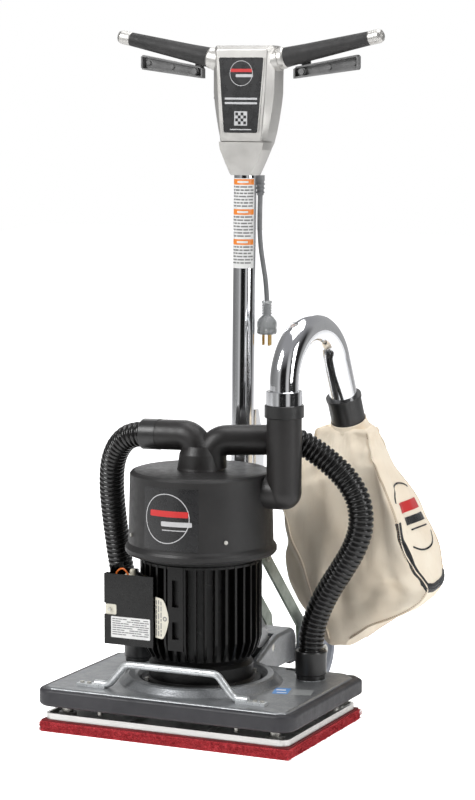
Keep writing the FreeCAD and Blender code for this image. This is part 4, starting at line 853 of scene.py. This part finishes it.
def label_head():
    """The head's dark panel with a ring, bars and a block of squares, and the raised bezel round it."""
    place = (0, TUBE_AXIS[0] + TUBE_AXIS[1] * HEAD_CENTRE - HEAD_FRONT, HEAD_CENTRE)
    face = flat_on(place, (1, 0, 0), (0, TUBE_AXIS[1], 1))
    rows = head_panel()
    film, ink, squares = (0.00002, 0.0004), (0.00038, 0.0005), (0.00048, 0.0006)
    layers = [(0, film, [((half - cut, v), (cut - half, v)) for v, half, cut in rows], False),
              (1, ink, ring(0, 0.036, 0.0205, 0.0214), True)]
    layers += bars(2, ink, (-0.020, 0.038, 0.020, 0.0435, 0.001))
    layers += bars(1, ink, (-0.010, 0.0295, 0.022, 0.0345, 0.001), (-0.030, -0.016, 0.030, -0.0125, 0.001),
                   (-0.030, -0.0085, 0.030, -0.005, 0.001), (-0.012, -0.052, 0.012, -0.028),
                   (-0.020, -0.0595, 0.020, -0.0578))
    for row in range(4):
        for column in range(4):
            if (row + column) % 2:
                u, v = -0.010 + 0.005 * column, -0.050 + 0.005 * row
                layers += bars(0, squares, (u, v, u + 0.005, v + 0.005))
    printed("head_label", face, layers, [dark_ink, silver_ink, red_ink], "handle")
    rim = [((half + 0.0022 - cut * 0.6, v), (half + 0.0002 - cut, v)) for v, half, cut in rows]
    rim += [((cut * 0.6 - half - 0.0022, v), (cut - half - 0.0002, v)) for v, half, cut in reversed(rows)]
    printed("head_bezel", face, [(0, (0.00002, 0.0011), rim, True)], [cast_silver], "handle")


def label_shroud():
    """A dark film round the front of the fan shroud, with a ring and bars on it."""
    shroud = wrapped_on(SHROUD_RADIUS, -0.4, taper=SHROUD_TAPER)
    film, ink = (0.00005, 0.0003), (0.00028, 0.0004)
    layers = bars(0, film, (-0.0508, 0.3185, 0.0508, 0.4205, 0.003, 30))
    layers.append((1, ink, ring(-0.005, 0.371, 0.0398, 0.0412), True))
    layers += bars(2, ink, (-0.036, 0.374, 0.034, 0.384, 0.002, 16))
    layers += bars(1, ink, (-0.014, 0.3585, 0.040, 0.3665, 0.002, 14),
                   (-0.012, 0.3515, 0.030, 0.3530, 0.0, 10))
    printed("shroud_label", shroud, layers, [dark_ink, silver_ink, red_ink], "base")


def label_box(chances):
    """The junction box's white label, with rows of grey bars, and its cream tab."""
    cover = flat_on((0, BOX_FRONT, 0), (1, 0, 0), (0, 0, 1))
    film, ink = (0.00002, 0.00014), (0.00012, 0.0002)
    left, right, top, bottom, pitch, gap = -0.1145, -0.047, 0.1955, 0.1630, 0.0037, 0.0013
    layers = bars(0, film, (-0.117, 0.161, -0.0445, 0.1965, 0.0015))
    v = top - pitch
    while v > bottom:
        for u, end in dashes(left, right - gap, right, (2.5 * gap, 8 * gap), 0.6 * gap, chances):
            if chances.random() < 0.88:
                layers += bars(1, ink, (u, v, end, v + 0.0017))
        v -= pitch
    printed("box_label", cover, layers, [white_ink, grey_ink], "base")
    tab = flat_on((0, TAB_FRONT, 0), (1, 0, 0), (0, 0, 1))
    layers = bars(0, (-0.0012, 0.0002), (-0.1285, 0.1985, -0.1075, 0.2165, 0.004))
    printed("box_tab", tab, layers, [cream_ink], "base")


def label_motor(chances):
    """The cream plate on the motor's fins, round on one side, with columns of grey bars."""
    fins = wrapped_on(FIN_RADIUS, -14)
    plate, ink = (0.0001, 0.0010), (0.00098, 0.0011)
    edge = [(-0.0130, 0.1665, 0.2345), (-0.006, 0.1660, 0.2340), (0.0005, 0.1655, 0.2330),
            (0.0040, 0.1665, 0.2315), (0.0075, 0.1720, 0.2270), (0.0105, 0.1790, 0.2200),
            (0.0130, 0.1870, 0.2120), (0.0150, 0.1960, 0.2040)]
    layers = [(0, plate, [((u, low), (u, high)) for u, low, high in edge], False)]
    for column in range(3):
        u = -0.0112 + 0.0052 * column
        for v, end in dashes(0.1700, 0.2300, 0.231, (0.004, 0.011), 0.002, chances):
            layers += bars(1, ink, (u, v, u + 0.0020, end))
    layers.append((1, ink, ring(0.0080, 0.2000, 0.0022, 0.0040, 24), True))
    layers.append((1, (0.00098, 0.0013), ring(-0.0105, 0.2010, 0.0001, 0.0012, 16), True))
    printed("motor_nameplate", fins, layers, [cream_ink, grey_ink], "base")


def label_deck():
    """A blue and a faded label on the deck, and the round-ended plug near its rear edge."""
    slant = ((0.97, 0.24, 0), (-0.24, 0.97, 0))
    blue = flat_on((0.1535, -0.0125, DECK_TOP), *slant)
    layers = bars(0, (0.00002, 0.00016), (-0.0130, -0.0200, 0.0130, 0.0200, 0.001))
    layers += bars(1, (0.00014, 0.00024), (-0.006, -0.013, 0.010, -0.009), (-0.010, 0.003, 0.006, 0.010))
    printed("deck_label_blue", blue, layers, [blue_ink, white_ink], "base")
    grey = flat_on((0.1890, -0.0075, DECK_TOP), *slant)
    layers = bars(0, (0.00002, 0.00012), (-0.0165, -0.0185, 0.0165, 0.0185, 0.001))
    printed("deck_label_grey", grey, layers, [faded_ink], "base")
    rear = flat_on((0.112, 0.138, DECK_TOP), (1, 0, 0), (0, 1, 0))
    layers = bars(0, (0.00002, 0.0012), (-0.017, -0.0055, 0.017, 0.0055, 0.0054))
    printed("deck_plug", rear, layers, [dark_ink], "base")


label_chances = random.Random(11)
label_tube(label_chances)
label_head()
label_shroud()
label_box(label_chances)
label_motor(label_chances)
label_deck()


# ---- seams, zipper and print on the bag ----

# v of the edges of the zipper's three bands of tape
ZIPPER_EDGES = (-0.0105, -0.0050, 0.0005, 0.0060)
ZIPPER_GUIDE = [
    (0.296, 0.172, 0.341), (0.309, 0.174, 0.303), (0.325, 0.182, 0.266), (0.338, 0.196, 0.238),
    (0.345, 0.211, 0.225), (0.344, 0.240, 0.224), (0.337, 0.275, 0.233), (0.329, 0.298, 0.243),
]
SEAM_START = 4
PRINT_CENTRE = (0.302, 0.236, 0.346)
PRINT_UP = (-0.27, 0, 0.96)
DROP_HEIGHT = 0.06


def bag_path(guide, gap=0.003):
    """A place that follows the bag's surface along a guide line: u along it, v across it."""
    line, length = spaced(read_line(guide), gap)
    found = [bag_surface.find_nearest(point) for point in line]
    spots = [place for place, _, _, _ in found]
    normals = []
    for index in range(len(found)):
        near = found[max(index - 2, 0):index + 3]
        normals.append(sum((normal for _, normal, _, _ in near), Vector()).normalized())
    def spot(u, v, height):
        place = min(max(u / length, 0.0), 1.0) * (len(spots) - 1)
        index = min(int(place), len(spots) - 2)
        here = spots[index].lerp(spots[index + 1], place - index)
        normal = normals[index].lerp(normals[index + 1], place - index).normalized()
        across = normal.cross(spots[index + 1] - spots[index]).normalized()
        surface_place, _, _, _ = bag_surface.find_nearest(here + across * v)
        return surface_place + normal * height
    return spot, length


def bag_panel(centre, across, up):
    """A flat place laid on the bag's surface: points of the plane are dropped along its normal."""
    flat = flat_on(centre, across, up)
    normal = Vector(across).normalized().cross(Vector(up).normalized())

    def spot(u, v, height):
        place, _, _, _ = bag_surface.ray_cast(flat(u, v, DROP_HEIGHT), -normal)
        return place + normal * height if place else flat(u, v, height)
    return spot


def make_seams():
    """A folded strip with a row of dark brown stitches beside it, down each of the bag's front and rear
    seams; the stitches' dark brown is partly painted shade along the seam.
    """
    # Painted shade, in part: the stitch thread is a dark brown that stands for the shaded line along each
    # seam.
    thread = print_ink("seam_thread_and_shade", (0.42, 0.27, 0.15), 0.7)
    for number, guide in enumerate(bag_lines):
        spot, length = bag_path(guide[SEAM_START:])
        layers = bars(0, (-0.0004, 0.0016), (0, -0.0011, length, 0.0011, 0.0, 150))
        for u in every(0.002, length - 0.004, 0.0042):
            layers += bars(1, (0.0002, 0.0008), (u, 0.0030, u + 0.0026, 0.0037))
        printed(f"bag_seam_{number}", spot, layers, [canvas_finish, thread], "bag_swivel")


def make_zipper():
    """Three bands of black tape with two rows of teeth between them."""
    tape = print_ink("zipper_tape", (0.010, 0.010, 0.011), 0.55)
    teeth = print_ink("zipper_teeth", (0.030, 0.034, 0.040), 0.25)
    spot, length = bag_path(ZIPPER_GUIDE)
    layers = []
    for low, high in zip(ZIPPER_EDGES, ZIPPER_EDGES[1:]):
        layers += bars(0, (-0.0004, 0.0012), (0, low, length, high, 0.0, 90))
    for side in ZIPPER_EDGES[1:3]:
        for u in every(0.001, length - 0.002, 0.0021):
            layers += bars(1, (0.0010, 0.0021), (u, side - 0.0008, u + 0.0013, side + 0.0008, 0.0, 1))
    printed("bag_zipper", spot, layers, [tape, teeth], "bag_swivel")


def make_bag_print():
    """Two dark arcs and three plain bars. The thick bars are strips side by side, to follow the folds."""
    panel = bag_panel(PRINT_CENTRE, (0, 1, 0), PRINT_UP)
    ink = (0.0004, 0.0010)
    layers = [(0, ink, arc(0, 0, 0.0585, 0.0615, 55, 150), False),
              (0, ink, arc(0, 0, 0.0585, 0.0615, 235, 325), False)]
    for row in range(4):
        v = 0.010 + 0.0045 * row
        layers += bars(1, ink, (-0.040, v, 0.040, v + 0.0045, 0.0, 24))
    for row in range(3):
        v = -0.012 + 0.0045 * row
        layers += bars(0, ink, (-0.030, v, 0.040, v + 0.0045, 0.0, 24))
    layers += bars(0, ink, (-0.022, -0.0225, 0.034, -0.0200, 0.0, 20))
    printed("bag_print", panel, layers, [dark_ink, red_ink], "bag_swivel")


make_seams()
make_zipper()
make_bag_print()

# ---- motor leads ----

def make_leads():
    """The motor's two leads and their wire nut, in the open junction box."""
    orange = surface("orange_lead", (0.62, 0.12, 0.015), (0.80, 0.20, 0.03), (0.3, 0.45), 1500, 0.0001,
                     patch=80)
    cream = surface("cream_connector", (0.62, 0.58, 0.46), (0.76, 0.72, 0.60), (0.3, 0.45), 1200, 0.0001,
                    patch=60)
    routes = (
        ((-0.100, -0.091, 0.236), (-0.101, -0.092, 0.258), (-0.092, -0.0925, 0.270), (-0.076, -0.092, 0.262),
         (-0.066, -0.092, 0.240)),
        ((-0.114, -0.090, 0.240), (-0.115, -0.090, 0.264), (-0.106, -0.091, 0.276), (-0.092, -0.094, 0.276),
         (-0.083, -0.094, 0.255)),
    )
    leads = []
    for number, (route, finish) in enumerate(zip(routes, (cream, orange))):
        spots, _ = spaced(read_line(route), 0.0015)
        leads.append(tube_mesh(f"motor_lead_{number}", spots, [0.0016] * len(spots), 14, finish, "base"))
    outline = [(0.0064, 0), (0.0066, 0.0008), (0.0066, 0.006), (0.0058, 0.010), (0.0049, 0.016),
               (0.0042, 0.0195), (0.0030, 0.0202)]
    leads.append(lathe("wire_nut", outline, (-0.088, -0.079, 0.254), cream, "base"))
    for lead in leads:
        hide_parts("motor_leads")


make_leads()


# ---- sanding pad ----

def fibre_finish():
    """Coarse red non-woven fibre: painted shade darkens the hollows between bright strands."""
    made = Finish("pad_fibre", (0.55, 0.03, 0.045), Roughness=0.75, Specular_IOR_Level=0.35)
    strands = made.cells(420, "DISTANCE_TO_EDGE")
    tangle = made.noise(330, 5, 0.7, warp=1.2)
    # Painted shade: darker red where the fibre's bump is lowest, in the hollows.
    color = made.blend(made.span(tangle, 0.35, 0.65), (0.22, 0.008, 0.014), (0.60, 0.035, 0.05))
    color = made.blend(made.span(strands, 0.12, 0.0, 0, 0.6), color, (0.80, 0.10, 0.11))
    made.feed(Base_Color=color)
    return made.bumped((tangle, 0.0016, 0.9), (strands, 0.0006, 0.5))


PAD_CELLS = (170, 114, 7)
FIBRES = 3400
FIBRE_STEPS = 5


def bumps(place, scale):
    """Smooth noise from 0 to 1."""
    return 0.5 + 0.5 * noise.noise(place * scale)


def pad_slab(low, high):
    """Points and faces of the pad as a slab whose open sides are rough."""
    length, width, thick = high.x - low.x, high.y - low.y, high.z - low.z
    points = []
    index_of = {}
    faces = []
    across, along, tall = PAD_CELLS

    def spot(i, j, k):
        key = (i, j, k)
        if key not in index_of:
            place = Vector((low.x + length * i / across, low.y + width * j / along, low.z + thick * k / tall))
            rough = 0.0024 * bumps(place, 210) + 0.0016 * bumps(place, 480)
            inward = Vector(((i == 0) - (i == across), (j == 0) - (j == along), 0))
            place += inward * rough
            if k == 0 and inward.length:
                place.z += 0.0018 * bumps(place, 300)
            index_of[key] = len(points)
            points.append(place)
        return index_of[key]

    for i in range(across):
        for j in range(along):
            faces.append((spot(i, j, 0), spot(i, j + 1, 0), spot(i + 1, j + 1, 0), spot(i + 1, j, 0)))
            faces.append((spot(i, j, tall), spot(i + 1, j, tall), spot(i + 1, j + 1, tall),
                          spot(i, j + 1, tall)))
    for k in range(tall):
        for i in range(across):
            faces.append((spot(i, 0, k), spot(i + 1, 0, k), spot(i + 1, 0, k + 1), spot(i, 0, k + 1)))
            faces.append((spot(i, along, k), spot(i, along, k + 1), spot(i + 1, along, k + 1),
                          spot(i + 1, along, k)))
        for j in range(along):
            faces.append((spot(0, j, k), spot(0, j, k + 1), spot(0, j + 1, k + 1), spot(0, j + 1, k)))
            faces.append((spot(across, j, k), spot(across, j + 1, k), spot(across, j + 1, k + 1),
                          spot(across, j, k + 1)))
    return points, faces


def add_fibre(points, faces, low, high, chances):
    """One loose fibre that bulges out of the slab's edge, at a random place round it."""
    length, width = high.x - low.x, high.y - low.y
    share = chances.uniform(0, 2 * (length + width))
    if share < 2 * length:
        outward = Vector((0, -1 if share < length else 1, 0))
        x, y = low.x + share % length, low.y if share < length else high.y
    else:
        share -= 2 * length
        outward = Vector((-1 if share < width else 1, 0, 0))
        x, y = low.x if share < width else high.x, low.y + share % width
    z = low.z + chances.uniform(0.0012, high.z - low.z - 0.0012)
    along_edge = Vector((-outward.y, outward.x, 0))
    reach = chances.uniform(0.003, 0.009) * chances.choice((-1, 1))
    lift = chances.uniform(-0.006, 0.006)
    bulge = chances.uniform(0.0002, 0.0018)
    radius = chances.uniform(0.00016, 0.0003)
    start = Vector((x, y, z)) - outward * 0.0026
    base = len(points)
    for step in range(FIBRE_STEPS):
        part = step / (FIBRE_STEPS - 1)
        here = start + along_edge * reach * part + outward * (0.0020 + bulge) * math.sin(math.pi * part)
        here.z = min(max(here.z + lift * (part - 0.5), low.z + 0.0005), high.z - 0.0005)
        for corner in range(3):
            turn = 2 * math.pi * corner / 3
            points.append(here + outward * radius * math.cos(turn) + Vector((0, 0, radius * math.sin(turn))))
    faces += [tuple(base + index for index in face) for face in grid_faces(FIBRE_STEPS, 3)]
    last = base + 3 * (FIBRE_STEPS - 1)
    faces.append((base, base + 2, base + 1))
    faces.append((last, last + 1, last + 2))


def make_pad():
    """The sanding pad: a rough slab, with loose fibres standing out of its edges."""
    finish = fibre_finish()
    low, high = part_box("sanding_pad")
    points, faces = pad_slab(low, high)
    chances = random.Random(5)
    for _ in range(FIBRES):
        add_fibre(points, faces, low, high, chances)
    pad = mesh_object("fibre_pad", points, faces, [finish], "pad", smooth=False)
    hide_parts("sanding_pad")


make_pad()


# ---- floor and sky ----

SKY_TONES = (
    # share of a turn round the horizon and its grey tone: dark gaps between soft light panels
    (0.0, 0.18), (0.15, 0.30), (0.20, 0.55), (0.235, 0.01), (0.34, 0.01), (0.355, 0.45), (0.40, 0.6),
    (0.43, 0.02), (0.58, 0.02), (0.62, 0.35), (0.75, 0.4), (1.0, 0.18),
)
FLOOR_CORNERS = [(-4, -2.4, 0), (2.6, -2.4, 0), (2.6, 12, 0), (-7, 12, 0)]


def make_floor():
    """A plain pale floor: white in view, and dimmer in reflections so that chrome keeps its contrast."""
    finish = Finish("studio_floor", (0.9, 0.9, 0.9), Roughness=0.6)
    tone = finish.noise(2.5, 3, 0.5)
    in_view = finish.node("ShaderNodeLightPath").outputs["Is Camera Ray"]
    finish.feed(Base_Color=finish.blend(tone, (0.90, 0.90, 0.895), (0.92, 0.92, 0.92)),
                Emission_Color=(1.0, 1.0, 1.0, 1), Emission_Strength=finish.span(in_view, 0.0, 1.0, 0.3, 1.0))
    mesh = bpy.data.meshes.new("studio_floor")
    mesh.from_pydata(FLOOR_CORNERS, [], [(0, 1, 2, 3)])
    mesh.materials.append(finish.material)
    add_object("studio_floor", mesh)


def make_sky():
    """A sky that is white in view, and in reflections has the light panels and dark gaps of a studio."""
    world = bpy.data.worlds.new("studio")
    scene.world = world
    world.use_nodes = True
    sky = Nodes(world.node_tree)
    toward = sky.node("ShaderNodeTexCoord").outputs["Generated"]
    split = sky.node("ShaderNodeSeparateXYZ", {0: toward})
    angle = sky.math("ARCTAN2", split.outputs["Y"], split.outputs["X"])
    ramp = sky.node("ShaderNodeValToRGB", {"Fac": sky.span(angle, -math.pi, math.pi)})
    elements = ramp.color_ramp.elements
    for at, tone in SKY_TONES[1:-1]:
        elements.new(at).color = (tone, tone, tone, 1)
    for element, (_, tone) in zip((elements[0], elements[-1]), (SKY_TONES[0], SKY_TONES[-1])):
        element.color = (tone, tone, tone, 1)
    overhead = sky.span(split.outputs["Z"], 0.35, 0.8)
    reflected = sky.blend(overhead, ramp.outputs["Color"], (0.30, 0.30, 0.31))
    in_view = sky.node("ShaderNodeLightPath").outputs["Is Camera Ray"]
    background = sky.tree.nodes["Background"]
    sky.put(background.inputs["Color"], sky.blend(in_view, reflected, (1.0, 1.0, 1.0)))
    background.inputs["Strength"].default_value = 1.0


make_floor()
make_sky()
scene.view_settings.view_transform = "Standard"
